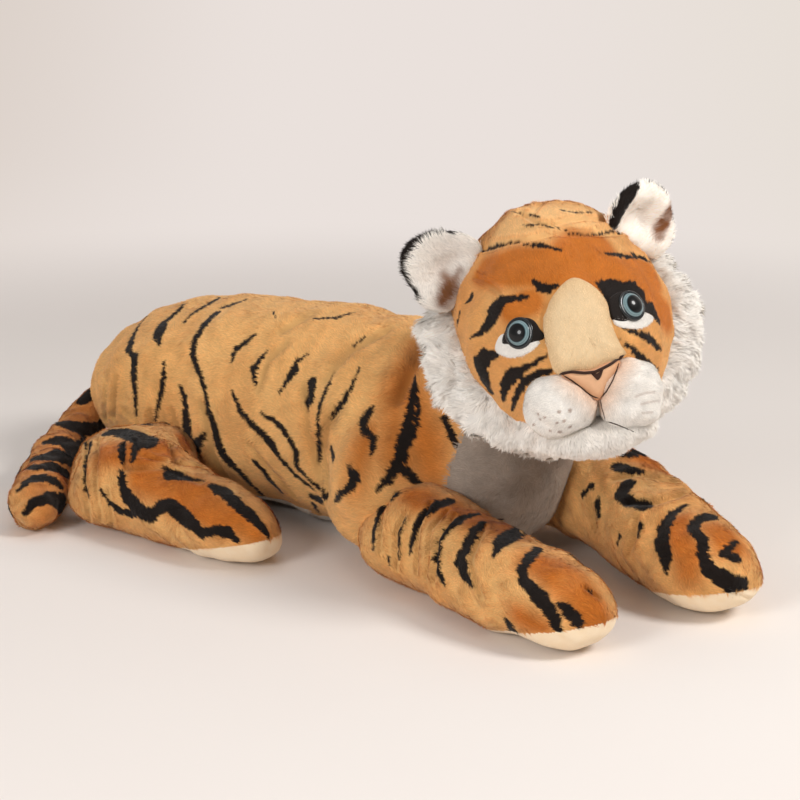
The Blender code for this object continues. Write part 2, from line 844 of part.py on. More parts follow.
def eye_sheet(name, side, start, end, reach, material):
    """A crescent beside the eye's base, between two angles of a clock on the eye's axis."""
    axis = eye_axis(side)
    inner = EYE_BASE_DIAMETER / 2 + CLEARANCE * 2
    rows = []
    for row in (0, 1 / 2, 1):
        points = []
        for number in range(CRESCENT_STEPS + 1):
            share = number / CRESCENT_STEPS
            angle = start + (end - start) * share
            belly = (1 - CRESCENT_END_SHARE) * math.sin(math.pi * share)
            radius = inner + reach * (CRESCENT_END_SHARE + belly) * row
            flat = axis @ Vector((side * radius * math.cos(angle), radius * math.sin(angle), 0))
            points.append(above_head(flat, CLEARANCE * 2))
        rows.append(points)
    return surface_sheet(name, rows, PATCH_THICKNESS, material)


def width_at(shares, place):
    """A share read from a table of (place, share) rows, in straight steps."""
    for (low, first), (high, second) in zip(shares, shares[1:]):
        if place <= high:
            return first + (second - first) * (place - low) / (high - low)
    return shares[-1][1]


def build_bridge():
    """The cream strip between the eyes, down to the nose."""
    rows = []
    for number in range(BRIDGE_ROWS + 1):
        share = number / BRIDGE_ROWS
        rise = BRIDGE_TOP + (BRIDGE_BOTTOM - BRIDGE_TOP) * share
        half = BRIDGE_WIDTH / 2 * width_at(BRIDGE_WIDTH_SHARES, share) / HEAD_RADIUS
        points = []
        for column in range(BRIDGE_COLUMNS + 1):
            turn = half * (2 * column / BRIDGE_COLUMNS - 1)
            points.append(above_head(on_head(turn, rise), CLEARANCE * 2))
        rows.append(points)
    return surface_sheet("nose_bridge", rows, BRIDGE_THICKNESS, "cream_plush")


def scaled_ball(name, centre, size, sides=SOLID_SIDES):
    """An egg-shaped pad of three full sizes."""
    mesh = ball_mesh(name, 1 / 2, sides)
    stretch = Matrix.Diagonal((*size, 1))
    mesh.transform(Matrix.Translation(centre) @ stretch)
    return mesh


def ruff_stations(side):
    """Rings along the collar's arc, from below the ear to the chin."""
    stations = []
    lean = Matrix.Rotation(-RUFF_LEAN, 3, "Y")
    for share, thickness, depth in RUFF_STATION_SHARES:
        angle = RUFF_TOP - (RUFF_TOP + math.pi / 2) * share
        direction = lean @ Vector((0, side * math.cos(angle), math.sin(angle)))
        place = direction * RUFF_RING_RADIUS
        stations.append((place, direction, thickness, depth))
    return stations


def ruff_mesh(side, label):
    """The collar half as a loft whose rings stand out from the head."""
    stations = ruff_stations(side)
    full = fullness(RUFF_SIDES)
    rings = []
    for number, (place, outward, thickness, depth) in enumerate(stations):
        before = stations[max(number - 1, 0)][0]
        after = stations[min(number + 1, len(stations) - 1)][0]
        across = (after - before).cross(outward).normalized()
        ring = []
        for corner in range(RUFF_SIDES):
            angle = 2 * math.pi * (corner + 0.5) / RUFF_SIDES
            out = outward * math.cos(angle) * thickness * RUFF_THICKNESS / 2
            deep = across * math.sin(angle) * depth * RUFF_DEPTH / 2
            ring.append(place + (out + deep) / full)
        rings.append(ring)
    return subdivided(closed_loft(rings), f"ruff_form_{label}")


def side_region(name, side):
    """Everything on one side of the head's middle plane, clear of it."""
    reach = HEAD_RADIUS * 2
    near, far = sorted((side * CLEARANCE / 2, side * reach))
    return cutter(name, block_mesh(name, (-reach, near, -reach), (reach, far, reach)), HEAD)


def nose_mesh():
    """A rounded triangular cushion, wide at its top."""
    layers = []
    for depth_share, size_share in NOSE_LAYER_SHARES:
        layer = []
        for across, up in NOSE_OUTLINE_SHARES:
            rise = (up + NOSE_MIDDLE_SHARE) * size_share - NOSE_MIDDLE_SHARE
            point = (
                NOSE_AHEAD + depth_share * NOSE_DEPTH,
                across * NOSE_WIDTH * size_share,
                rise * NOSE_HEIGHT - NOSE_DROP,
            )
            layer.append(point)
        layers.append(layer)
    return mesh_from(closed_loft(layers), "nose")


def ear_matrix(side, label):
    """A frame at an ear's root: X faces forward out of the ear's front, Z runs to its tip."""
    up = Vector((math.sin(EAR_AHEAD), side * math.sin(EAR_SIDE), math.cos(EAR_SIDE)))
    up.normalize()
    root = up * head_surface(up)
    turn_out = EAR_TURN_OUT[label]
    ahead = Vector((math.cos(turn_out), side * math.sin(turn_out), 0))
    across = up.cross(ahead).normalized()
    ahead = across.cross(up)
    turn = Matrix((ahead, across, up)).transposed().to_4x4()
    return Matrix.Translation(root) @ turn


def ear_form(side):
    full = fullness(EAR_SIDES)
    rings = []
    for along, width, thickness in EAR_STATION_SHARES:
        ring = []
        for corner in range(EAR_SIDES):
            angle = 2 * math.pi * (corner + 0.5) / EAR_SIDES
            across = math.cos(angle) * width * EAR_WIDTH / 2 / full
            deep = math.sin(angle) * thickness * EAR_THICKNESS / 2 / full
            ring.append(Vector((deep, side * EAR_SHIFT + across, along * EAR_HEIGHT)))
        rings.append(ring)
    return subdivided(closed_loft(rings), "ear_form")


def build_ear(side, label, head_room):
    """The ear's striped back and its white hollow front, on one fold line at the root."""
    frame = head_matrix() @ ear_matrix(side, label)
    holder = empty_at(f"ear_{label}_joint", frame)
    form = ear_form(side)
    rooms = [head_room]
    for number, fold in enumerate((-EAR_FOLD, EAR_FOLD)):
        room = cutter(f"ear_root_room_{label}_{number}", head_room.data)
        swell(room, CLEARANCE * 2)
        fold_turn = frame @ Matrix.Rotation(fold, 4, "Y") @ frame.inverted()
        room.matrix_world = fold_turn @ head_matrix()
        rooms.append(room)
    reach = EAR_HEIGHT * 2
    half = CLEARANCE / 2
    front_region = cutter(
        f"ear_front_region_{label}",
        block_mesh("ear_front_region", (half, -reach, -reach), (reach, reach, reach)),
        holder,
    )
    back_region = cutter(
        f"ear_back_region_{label}",
        block_mesh("ear_back_region", (-reach, -reach, -reach), (-half, reach, reach)),
        holder,
    )
    hollow = cutter(
        f"ear_hollow_{label}",
        ball_mesh("ear_hollow", EAR_HOLLOW_RADIUS, SOLID_SIDES),
        holder,
    )
    face = EAR_THICKNESS / 2 - EAR_HOLLOW_DEPTH
    hollow.location = (face + EAR_HOLLOW_RADIUS, side * EAR_SHIFT, EAR_HOLLOW_HEIGHT)
    front = part(f"ear_front_{label}", plain_copy(form, "ear_front"), "white_plush", holder)
    cut(keep_in(front, front_region), *rooms, hollow)
    back = part(f"ear_back_{label}", plain_copy(form, "ear_back"), "striped_plush", holder)
    cut(keep_in(back, back_region), *rooms)


def build_head():
    """The head's covers and filling, and everything that is sewn to its face."""
    form = head_form()
    core = cutter("head_core", plain_copy(form, "head_core"), HEAD)
    swell(core, -PLUSH_THICKNESS)
    face_side = face_region("face_region", 0)
    face_seam = face_region("face_seam", CLEARANCE)
    opening = neck_opening()
    holes = []
    pockets = []
    for side, label in SIDES:
        in_cover, in_filling = build_eye(side, label)
        holes += in_cover
        pockets += in_filling
    face = part("face_cover", plain_copy(form, "face_cover"), "striped_plush", HEAD)
    cut(keep_in(cut(face, core), face_side), *holes)
    back = part("head_back_cover", plain_copy(form, "head_back_cover"), "striped_plush", HEAD)
    cut(back, core, face_seam, opening)
    filling = part("head_filling", plain_copy(form, "head_filling"), "filling", HEAD)
    cut(swell(filling, -PLUSH_THICKNESS - FILLING_GAP), *pockets)

    room = cutter("head_room", plain_copy(form, "head_room"), HEAD)
    swell(room, CLEARANCE * 2)
    muzzle_rooms = []
    ruff_rooms = []
    for side, label in SIDES:
        region = side_region(f"side_region_{label}", side)
        ruff_form = ruff_mesh(side, label)
        ruff = part(f"ruff_{label}", plain_copy(ruff_form, "ruff"), "white_plush", HEAD)
        keep_in(cut(ruff, room), region)
        ruff_room = cutter(f"ruff_room_{label}", plain_copy(ruff_form, "ruff_room"), HEAD)
        ruff_rooms.append(swell(ruff_room, CLEARANCE))
        centre = Vector((MUZZLE_AHEAD, side * MUZZLE_WIDTH / 2, -MUZZLE_DROP))
        size = (MUZZLE_DEPTH, MUZZLE_WIDTH, MUZZLE_HEIGHT)
        pad = scaled_ball(f"muzzle_{label}", centre, size)
        muzzle = part(f"muzzle_{label}", plain_copy(pad, "muzzle"), "white_plush", HEAD)
        keep_in(cut(muzzle, room, *ruff_rooms[-1:]), region)
        muzzle_room = cutter(f"muzzle_room_{label}", plain_copy(pad, "muzzle_room"), HEAD)
        muzzle_rooms.append(swell(muzzle_room, CLEARANCE))
        patch = f"eye_patch_{label}"
        eye_sheet(patch, side, PATCH_FROM, PATCH_TO, PATCH_REACH, "white_plush")
        eye_sheet(f"eye_lid_{label}", side, LID_FROM, LID_TO, LID_REACH, "dark_plush")
    bridge = build_bridge()
    cut(bridge, *muzzle_rooms)
    bridge_block = cutter("nose_room", nose_mesh(), HEAD)
    swell(bridge_block, CLEARANCE)
    cut(bridge, bridge_block)
    nose = part("nose", nose_mesh(), "nose_suede", HEAD)
    cut(nose, room, *muzzle_rooms)
    centre = Vector((CHIN_AHEAD, 0, -CHIN_DROP))
    chin_form = scaled_ball("chin", centre, (CHIN_DEPTH, CHIN_WIDTH, CHIN_HEIGHT))
    chin = part("chin", chin_form, "white_plush", HEAD)
    cut(chin, room, *muzzle_rooms, *ruff_rooms)
    for side, label in SIDES:
        build_ear(side, label, room)


def build_legs_and_tail(torso_room):
    for side, label, shares in (
        (-1, "right", RIGHT_LEG_PATH_SHARES),
        (1, "left", LEFT_LEG_PATH_SHARES),
    ):
        name = f"front_leg_{label}"
        stations = front_leg_stations(shares, side)
        shoulder = Vector((SHOULDER_FORWARD, side * SHOULDER_SIDE, SHOULDER_HEIGHT))
        form = soft_form(name + "_form", stations, FRONT_LEG_SIDES, shoulder, LEG_SQUARENESS)
        toe, heading = toe_and_heading(stations)
        swing = side * FRONT_SWING
        build_limb(name, form, shoulder, SHOULDER_RADIUS, swing, torso_room, toe, heading)

        name = f"hind_leg_{label}"
        stations = hind_leg_stations(side)
        hip = Vector((-HIP_BACK, side * HIP_SIDE, HIP_HEIGHT))
        form = soft_form(name + "_form", stations, HIND_LEG_SIDES, hip, LEG_SQUARENESS)
        toe, heading = toe_and_heading(stations)
        swing = -side * HIND_SWING
        build_limb(name, form, hip, HIP_RADIUS, swing, torso_room, toe, heading)
    root = Vector((-TAIL_ROOT_BACK, -TAIL_ROOT_SIDE, TAIL_ROOT_HEIGHT))
    form = soft_form("tail_form", tail_stations(), TAIL_SIDES, root)
    build_limb("tail", form, root, TAIL_ROOT_RADIUS, -TAIL_SWING, torso_room)


def limb_sockets():
    """The hollows in the torso for the head and for each limb's round root."""
    sockets = []
    head = Vector((HEAD_AHEAD, -HEAD_RIGHT, HEAD_HEIGHT))
    sockets.append(ball_socket("head_socket", head, HEAD_RADIUS, HEAD_SIDES))
    for side, label in SIDES:
        shoulder = Vector((SHOULDER_FORWARD, side * SHOULDER_SIDE, SHOULDER_HEIGHT))
        hip = Vector((-HIP_BACK, side * HIP_SIDE, HIP_HEIGHT))
        sockets.append(
            ball_socket(f"shoulder_socket_{label}", shoulder, SHOULDER_RADIUS, BALL_SIDES)
        )
        sockets.append(ball_socket(f"hip_socket_{label}", hip, HIP_RADIUS, BALL_SIDES))
    root = Vector((-TAIL_ROOT_BACK, -TAIL_ROOT_SIDE, TAIL_ROOT_HEIGHT))
    sockets.append(ball_socket("tail_socket", root, TAIL_ROOT_RADIUS, BALL_SIDES))
    return sockets


clear_scene()
PARTS = new_collection("plush_tiger")
CUTTERS = new_collection("plush_tiger_cutters")
MATERIALS = {name: new_material(name) for name in COLOURS}
SIDES = ((-1, "right"), (1, "left"))
FLOOR = floor_block(0)
HEAD = empty_at("head_joint", head_matrix())
TORSO_ROOM = build_torso(limb_sockets())
build_legs_and_tail(TORSO_ROOM)
build_head()
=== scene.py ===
import math

import bmesh
import bpy
import numpy as np
from mathutils import Matrix, Vector
from mathutils.bvhtree import BVHTree


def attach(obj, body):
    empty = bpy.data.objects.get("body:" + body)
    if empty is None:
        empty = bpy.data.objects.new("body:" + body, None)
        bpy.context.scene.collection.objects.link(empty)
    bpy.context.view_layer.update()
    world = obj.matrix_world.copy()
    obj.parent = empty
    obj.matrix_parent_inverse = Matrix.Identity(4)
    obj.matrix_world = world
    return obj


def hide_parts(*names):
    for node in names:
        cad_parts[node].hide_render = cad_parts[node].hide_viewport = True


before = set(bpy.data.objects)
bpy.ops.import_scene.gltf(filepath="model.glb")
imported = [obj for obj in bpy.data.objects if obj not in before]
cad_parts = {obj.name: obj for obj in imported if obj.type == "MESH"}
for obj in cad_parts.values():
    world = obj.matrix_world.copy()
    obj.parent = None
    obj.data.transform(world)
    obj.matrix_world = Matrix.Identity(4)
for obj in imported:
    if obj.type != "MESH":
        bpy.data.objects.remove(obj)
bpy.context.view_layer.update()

# Camera: the photograph's view of the lying toy
CAMERA_TARGET = Vector((0.08, 0.0, 0.144))
CAMERA_AZIMUTH = math.radians(45)
CAMERA_ELEVATION = math.radians(15)
CAMERA_DISTANCE = 2.16
CAMERA_LENS = 90.0
CAMERA_SENSOR = 36.0
PHOTO_SIDE = 800
FOCAL_PIXELS = CAMERA_LENS / CAMERA_SENSOR * PHOTO_SIDE

# The frames that the strokes below are written in: pixels of an enlarged part of the photograph,
# as (enlargement, left edge, top edge)
BODY_VIEW = (4.0, 0.0, 270.0)
LEGS_VIEW = (4.0, 330.0, 420.0)
HEAD_VIEW = (5.0, 400.0, 165.0)

# The stuffed forms, as in the model's own tables
FLAT_DEPTH = 0.0005
TORSO_LENGTH = 0.676
TORSO_WIDTH = 0.238
TORSO_HEIGHT = 0.242
TORSO_ORIGIN_SHARE = 0.579
TORSO_SIDES = 8
TORSO_SQUARENESS = 0.8
TORSO_SHARES = (
    (0.000, 0.22, 0.18, 0.34),
    (0.018, 0.62, 0.46, 0.335),
    (0.085, 0.90, 0.70, 0.380),
    (0.220, 1.00, 0.90, 0.450),
    (0.480, 1.00, 0.99, 0.492),
    (0.800, 0.93, 0.99, 0.495),
    (0.965, 0.76, 0.84, 0.470),
    (1.000, 0.34, 0.40, 0.460),
)
BELLY_SEAM_HEIGHT = 0.024
CHEST_SEAM_BACK = 0.046
CHEST_SEAM_TILT = math.radians(12)
LEG_SIDES = 6
LEG_SQUARENESS = 0.62
SHOULDER = (0.140, 0.072, 0.080)
FRONT_LEG = (0.345, 0.106, 0.104)
RIGHT_LEG_SHARES = (
    (0.000, 0.000, 0.72, 0.66, 0.66),
    (0.170, 0.072, 0.55, 1.04, 1.04),
    (0.440, 0.148, 0.45, 0.98, 0.90),
    (0.730, 0.182, 0.43, 1.02, 0.85),
    (0.910, 0.186, 0.38, 0.90, 0.70),
    (0.985, 0.188, 0.33, 0.34, 0.26),
)
LEFT_LEG_SHARES = (
    (0.000, 0.000, 0.74, 0.66, 0.66),
    (0.220, 0.110, 0.67, 1.06, 1.10),
    (0.500, 0.098, 0.56, 1.06, 1.08),
    (0.840, -0.070, 0.45, 1.06, 0.92),
    (1.025, -0.135, 0.40, 0.96, 0.80),
    (1.100, -0.162, 0.34, 0.36, 0.28),
)
HIND_LEG = (0.304, 0.126, 0.108)
HEEL = (0.209, 0.180)
HIND_LEG_SHARES = (
    (0.000, 0.02, 0.46, 0.44, 0.44),
    (0.035, 0.04, 0.47, 0.84, 0.86),
    (0.200, 0.08, 0.48, 1.02, 1.00),
    (0.500, 0.15, 0.39, 0.84, 0.80),
    (0.830, 0.15, 0.33, 0.73, 0.66),
    (0.982, 0.12, 0.27, 0.40, 0.38),
)
SOLE_HEIGHT = 0.024
SOLE_TILT = math.radians(15)
TAIL_ROOT = (0.385, 0.022)
TAIL_LENGTH = 0.300
TAIL_WIDTH = 0.058
TAIL_SIDES = 6
TAIL_SHARES = (
    (0.000, 0.000, 1.55, 0.74),
    (-0.018, 0.120, 1.06, 0.84),
    (0.025, 0.265, 0.68, 0.92),
    (0.205, 0.480, 0.54, 1.00),
    (0.470, 0.740, 0.53, 1.08),
    (0.655, 0.905, 0.52, 1.06),
    (0.722, 0.962, 0.50, 0.50),
)
HEAD_PLACE = (0.326, -0.023, 0.267)
HEAD_YAW = math.radians(-41.7)
HEAD_PITCH = math.radians(10)
HEAD_ROLL = math.radians(13)
HEAD_RADIUS = 0.118
CROWN_SWELL = 0.008
SNOUT_SWELL = 0.026
SNOUT_DROP = math.radians(20)
SNOUT_SPREAD = math.radians(21)
FACE_SEAM_AHEAD = 0.018
RUFF_RING_RADIUS = 0.117
RUFF_THICKNESS = 0.064
RUFF_DEPTH = 0.050
RUFF_LEAN = math.radians(33)
RUFF_TOP = math.radians(28)
RUFF_SIDES = 6
RUFF_SHARES = (
    (0.00, 0.40, 0.40),
    (0.04, 0.66, 0.62),
    (0.25, 0.95, 0.90),
    (0.50, 1.00, 1.00),
    (0.75, 0.96, 1.00),
    (1.00, 0.92, 0.96),
)
MUZZLE = (0.054, 0.069, 0.064)
MUZZLE_AHEAD = 0.124
MUZZLE_DROP = 0.060
CHIN = (0.050, 0.058, 0.026)
CHIN_PLACE = (0.106, 0.0, -0.098)
NOSE_WIDTH = 0.060
NOSE_HEIGHT = 0.034
NOSE_DEPTH = 0.016
NOSE_AHEAD = 0.143
NOSE_DROP = 0.026
EYE_SIDE = math.radians(25)
EYE_RISE = math.radians(6.5)
EAR_WIDTH = 0.084
EAR_HEIGHT = 0.055
EAR_THICKNESS = 0.026
EAR_SIDE = math.radians(48)
EAR_AHEAD = math.radians(3)
EAR_SHIFT = 0.006
EAR_TURN_OUT = {"right": math.radians(6), "left": math.radians(38)}
EAR_SHARES = (
    (-0.26, 0.92, 0.46),
    (0.10, 1.02, 0.80),
    (0.45, 0.94, 1.00),
    (0.82, 0.62, 0.80),
    (1.00, 0.24, 0.40),
)
EAR_SIDES = 6

# Dark stripes: strokes of (across, down, width)
TORSO_STRIPES = (
    ((735, 140, 8), (690, 185, 16), (650, 215, 26), (632, 260, 34), (640, 300, 10)),
    ((560, 215, 8), (530, 270, 14), (515, 320, 24), (540, 350, 22), (535, 420, 26),
     (542, 500, 16), (548, 590, 8)),
    ((880, 110, 6), (820, 145, 12), (770, 175, 10), (735, 210, 6)),
    ((985, 118, 8), (930, 140, 14), (890, 150, 8)),
    ((865, 175, 22), (820, 215, 20), (780, 280, 18), (770, 330, 22), (790, 390, 20),
     (810, 450, 18), (822, 490, 14)),
    ((655, 370, 8), (655, 430, 22), (645, 490, 20), (630, 550, 14), (622, 600, 10)),
    ((720, 460, 10), (740, 510, 22), (745, 570, 26), (752, 640, 34), (760, 700, 36),
     (750, 770, 24)),
    ((815, 655, 20), (790, 700, 34), (760, 760, 36), (738, 800, 18)),
    ((822, 490, 14), (832, 560, 22), (848, 620, 38), (870, 690, 38), (900, 750, 30),
     (950, 800, 20), (1000, 850, 14), (1060, 910, 8)),
    ((930, 490, 8), (960, 560, 18), (1010, 620, 24), (1060, 665, 28), (1090, 700, 30),
     (1120, 750, 14), (1180, 820, 12), (1260, 880, 8)),
    ((1010, 760, 10), (1050, 800, 20), (1080, 840, 16), (1130, 890, 8)),
    ((1020, 260, 8), (985, 290, 16), (945, 315, 20), (925, 370, 8)),
    ((1070, 325, 6), (1040, 360, 18), (1015, 400, 26), (1025, 465, 8)),
    ((1230, 340, 8), (1180, 370, 14), (1180, 400, 30), (1150, 440, 18), (1120, 490, 8)),
    ((1095, 170, 12), (1100, 188, 8)),
    ((1410, 170, 6), (1350, 192, 10), (1250, 195, 5)),
    ((1460, 270, 10), (1410, 305, 5)),
    ((1045, 575, 8), (1090, 600, 16), (1130, 635, 20), (1160, 680, 16), (1185, 730, 24),
     (1190, 790, 16), (1250, 850, 12), (1295, 885, 16)),
    ((1245, 460, 38), (1240, 510, 34), (1235, 565, 12)),
    ((1340, 410, 5), (1310, 470, 12), (1280, 540, 16), (1270, 610, 12), (1275, 680, 22),
     (1280, 780, 10)),
    ((1440, 390, 5), (1410, 460, 12), (1380, 520, 30), (1340, 570, 20), (1320, 610, 6)),
    ((1488, 555, 20), (1452, 605, 34), (1460, 650, 36), (1498, 672, 26), (1485, 735, 12)),
    ((1660, 430, 10), (1650, 500, 30), (1640, 580, 36), (1615, 680, 50), (1600, 760, 56),
     (1560, 830, 44), (1510, 882, 16)),
    ((1610, 790, 40), (1655, 835, 34), (1700, 868, 12)),
    ((1668, 470, 10), (1672, 560, 22), (1660, 640, 26), (1630, 700, 30)),
    ((1395, 790, 20), (1420, 830, 42), (1400, 872, 36), (1360, 900, 24), (1338, 928, 8)),
    ((1325, 715, 14), (1335, 755, 20)),
    ((1245, 905, 14), (1280, 920, 26), (1310, 905, 18)),
    ((1250, 930, 10), (1280, 975, 6)),
    ((1780, 590, 24), (1800, 650, 32), (1830, 705, 18)),
    ((600, 172, 5), (565, 212, 7)),
)
HIND_STRIPES = (
    ((425, 655, 24), (470, 645, 46), (530, 655, 60), (580, 690, 56), (605, 672, 26)),
    ((492, 700, 28), (488, 740, 34), (490, 780, 16)),
    ((545, 705, 34), (530, 765, 16)),
    ((362, 690, 10), (345, 780, 14), (340, 850, 12), (355, 905, 8)),
    ((485, 810, 24), (490, 860, 34), (510, 910, 48), (545, 955, 60), (600, 985, 54),
     (645, 945, 46), (675, 935, 56), (725, 980, 66), (775, 1020, 54), (810, 1055, 40),
     (860, 1040, 40), (905, 1045, 46), (950, 1085, 22)),
    ((400, 880, 8), (440, 930, 18), (480, 965, 28), (540, 978, 26)),
    ((850, 865, 24), (900, 890, 46), (950, 935, 52), (1000, 982, 46), (1042, 1020, 36),
     (1072, 1062, 18)),
    ((655, 792, 18), (690, 822, 46), (740, 838, 18), (820, 845, 6)),
    ((330, 640, 10), (345, 720, 12)),
)
NEAR_LEG_STRIPES = (
    ((265, 300, 20), (230, 320, 26), (200, 370, 26), (178, 430, 18), (172, 515, 8)),
    ((170, 288, 12), (120, 360, 18), (100, 420, 14), (92, 470, 8)),
    ((300, 395, 10), (280, 450, 14), (275, 555, 8)),
    ((480, 322, 24), (420, 345, 36), (370, 385, 34), (340, 440, 32), (325, 500, 20),
     (320, 538, 8)),
    ((595, 375, 10), (530, 395, 24), (470, 430, 32), (440, 480, 26), (430, 560, 16),
     (440, 620, 22), (462, 665, 8)),
    ((612, 408, 28), (580, 440, 46), (550, 500, 42), (520, 560, 42), (540, 620, 36),
     (568, 668, 12)),
    ((762, 445, 30), (720, 465, 44), (680, 495, 44), (655, 545, 16)),
    ((832, 515, 30), (800, 550, 34), (768, 600, 46), (780, 650, 46), (830, 700, 60),
     (870, 750, 60), (900, 800, 52), (918, 852, 26)),
    ((920, 740, 30), (950, 765, 50), (985, 800, 56), (1000, 830, 26)),
    ((705, 800, 14), (740, 850, 32), (772, 882, 16)),
    ((1030, 685, 14), (1060, 702, 6)),
    ((235, 550, 10), (240, 582, 6)),
)
FAR_LEG_STRIPES = (
    ((1165, 145, 14), (1230, 132, 30), (1295, 134, 12)),
    ((1148, 188, 34), (1200, 198, 42), (1250, 206, 14)),
    ((1190, 258, 46), (1165, 300, 44), (1210, 340, 60), (1268, 345, 32)),
    ((1420, 342, 14), (1370, 375, 30), (1335, 430, 40), (1325, 490, 60), (1345, 545, 52),
     (1345, 608, 16)),
    ((1522, 385, 34), (1480, 398, 30), (1450, 430, 40), (1490, 480, 50), (1490, 540, 46),
     (1515, 600, 60), (1580, 640, 72), (1655, 655, 54)),
    ((1620, 488, 26), (1580, 535, 40), (1625, 550, 36)),
    ((1240, 420, 20), (1235, 465, 14)),
    ((1160, 465, 14), (1150, 495, 10)),
    ((1070, 325, 24), (1075, 385, 16)),
    ((1590, 680, 30), (1640, 700, 24), (1645, 765, 44)),
    ((1010, 300, 16), (1050, 262, 20)),
)
HEAD_STRIPES = (
    ((620, 300, 6), (700, 300, 15), (780, 314, 8), (830, 330, 6)),
    ((420, 432, 12), (480, 413, 24), (545, 394, 14), (600, 388, 8)),
    ((620, 400, 12), (720, 405, 24), (805, 428, 12)),
    ((840, 340, 8), (880, 345, 12), (940, 360, 20), (1000, 345, 14), (1045, 338, 8)),
    ((1045, 335, 10), (1075, 330, 20), (1110, 342, 10)),
    ((1035, 443, 12), (1110, 455, 18), (1165, 462, 10)),
    ((560, 235, 6), (640, 245, 10), (700, 262, 6)),
    ((800, 225, 6), (880, 240, 8), (960, 235, 5)),
    ((1170, 455, 22), (1220, 470, 16), (1262, 495, 6)),
    ((1290, 510, 6), (1335, 565, 6)),
    ((665, 575, 18), (690, 605, 42), (740, 622, 44), (788, 600, 18)),
    ((625, 662, 30), (570, 665, 24), (510, 680, 46), (470, 730, 62), (440, 800, 44),
     (400, 840, 24), (348, 865, 8)),
    ((360, 660, 18), (330, 692, 10)),
    ((1000, 600, 36), (1050, 620, 90), (1120, 615, 74), (1172, 592, 30)),
    ((1150, 620, 40), (1195, 650, 70), (1215, 705, 50), (1262, 722, 40), (1292, 780, 26)),
    ((1020, 640, 30), (1045, 690, 40), (1050, 730, 24)),
    ((490, 945, 18), (430, 955, 74), (400, 1010, 76), (425, 1080, 46), (450, 1130, 24)),
    ((745, 945, 8), (680, 990, 26), (620, 1020, 38), (560, 1055, 80), (525, 1100, 50),
     (515, 1170, 18)),
    ((758, 1030, 30), (690, 1045, 40), (620, 1090, 40), (585, 1150, 34), (560, 1225, 12)),
    ((1110, 815, 8), (1190, 840, 26), (1250, 872, 36), (1305, 925, 12)),
    ((1100, 880, 8), (1150, 910, 24), (1200, 960, 36), (1242, 985, 20), (1292, 1030, 6)),
    ((300, 730, 6), (285, 800, 6)),
)

# Deeper orange areas, as broad soft strokes
TORSO_DEEP = (
    ((1690, 340, 110), (1620, 430, 90), (1580, 520, 90), (1580, 620, 110), (1600, 740, 140)),
    ((1640, 520, 140), (1700, 700, 160), (1730, 800, 120)),
    ((1480, 640, 50), (1440, 760, 60), (1420, 860, 50)),
)
HIND_DEEP = (
    ((560, 830, 110), (700, 880, 150), (800, 930, 170), (930, 1000, 150), (1020, 1060, 80)),
    ((430, 730, 90), (560, 750, 90), (640, 720, 80)),
)
NEAR_LEG_DEEP = (
    ((330, 300, 60), (480, 350, 70), (600, 400, 70), (700, 440, 80)),
    ((820, 560, 100), (930, 620, 170), (1000, 700, 170), (1060, 800, 120)),
    ((760, 790, 70), (850, 830, 60)),
)
FAR_LEG_DEEP = (
    ((1200, 110, 60), (1290, 180, 70)),
    ((1380, 420, 110), (1430, 520, 130), (1430, 600, 110)),
    ((1540, 440, 90), (1600, 500, 90)),
)
HEAD_DEEP = (
    ((430, 520, 90), (560, 510, 150), (760, 500, 190), (950, 500, 200), (1100, 520, 160),
     (1250, 560, 100)),
    ((560, 720, 90), (640, 690, 100)),
    ((850, 400, 110), (1000, 410, 110)),
    ((1250, 640, 80), (1330, 760, 70)),
)

# Look of the pile: written as the sRGB colours seen on the toy
COLOURS = {
    "tan": (237, 174, 102),
    "tan_pale": (248, 200, 132),
    "orange": (205, 118, 43),
    "white": (247, 241, 233),
    "black": (32, 24, 20),
    "brown": (140, 92, 60),
    "cream": (242, 212, 168),
    "cream_warm": (232, 190, 138),
    "nose": (226, 176, 136),
    "nose_rim": (206, 146, 104),
    "peach": (240, 200, 168),
    "sole": (248, 228, 200),
    "iris": (98, 125, 131),
    "iris_dark": (34, 52, 58),
    "iris_light": (150, 173, 177),
    "pupil": (8, 8, 9),
    "rim": (18, 16, 16),
    "lip": (58, 36, 27),
    "floor": (243, 238, 233),
    # The backdrop's two sides are darker than its middle: painted shade
    "wall_left_shaded": (219, 208, 200),
    "wall_middle": (234, 225, 220),
    "wall_right_shaded": (231, 223, 215),
}

GRID = 0.0028
MOST_FACES = 180000
BARE_HEIGHT = 0.0006
STROKE_SPREAD = 0.0003
THINNEST_STROKE = 0.0011
PAINT_REACH = 0.55
# Strokes: photo pixels between samples, how far round one the depth is worked out, samples of a
# band, and points worked on at once
STROKE_STEP = 1.2
STROKE_ROOM = 0.006
BAND_STEPS = 80
CHUNK = 20000
EVERYWHERE = slice(None)


def linear(name):
    """A named colour as a linear RGBA value."""
    return tuple(
        c / 12.92 if c <= 0.04045 else ((c + 0.055) / 1.055) ** 2.4
        for c in (v / 255 for v in COLOURS[name])
    ) + (1.0,)


def smooth(value, low, high):
    share = np.clip((value - low) / (high - low), 0, 1)
    return share * share * (3 - 2 * share)


def unit(vectors):
    return vectors / np.maximum(np.linalg.norm(vectors, axis=-1, keepdims=True), 1e-12)


def ripple(points, wavelength, seed, count=14):
    """Smooth noise of about unit size: a sum of waves in seeded directions."""
    draw = np.random.default_rng(seed)
    ways = unit(draw.normal(size=(count, 3)))
    ways *= 2 * math.pi / (wavelength * draw.uniform(0.65, 1.5, (count, 1)))
    phases = draw.uniform(0, 2 * math.pi, count)
    return np.sin(points @ ways.T + phases).sum(1) / math.sqrt(count / 2)


# Camera and its rays

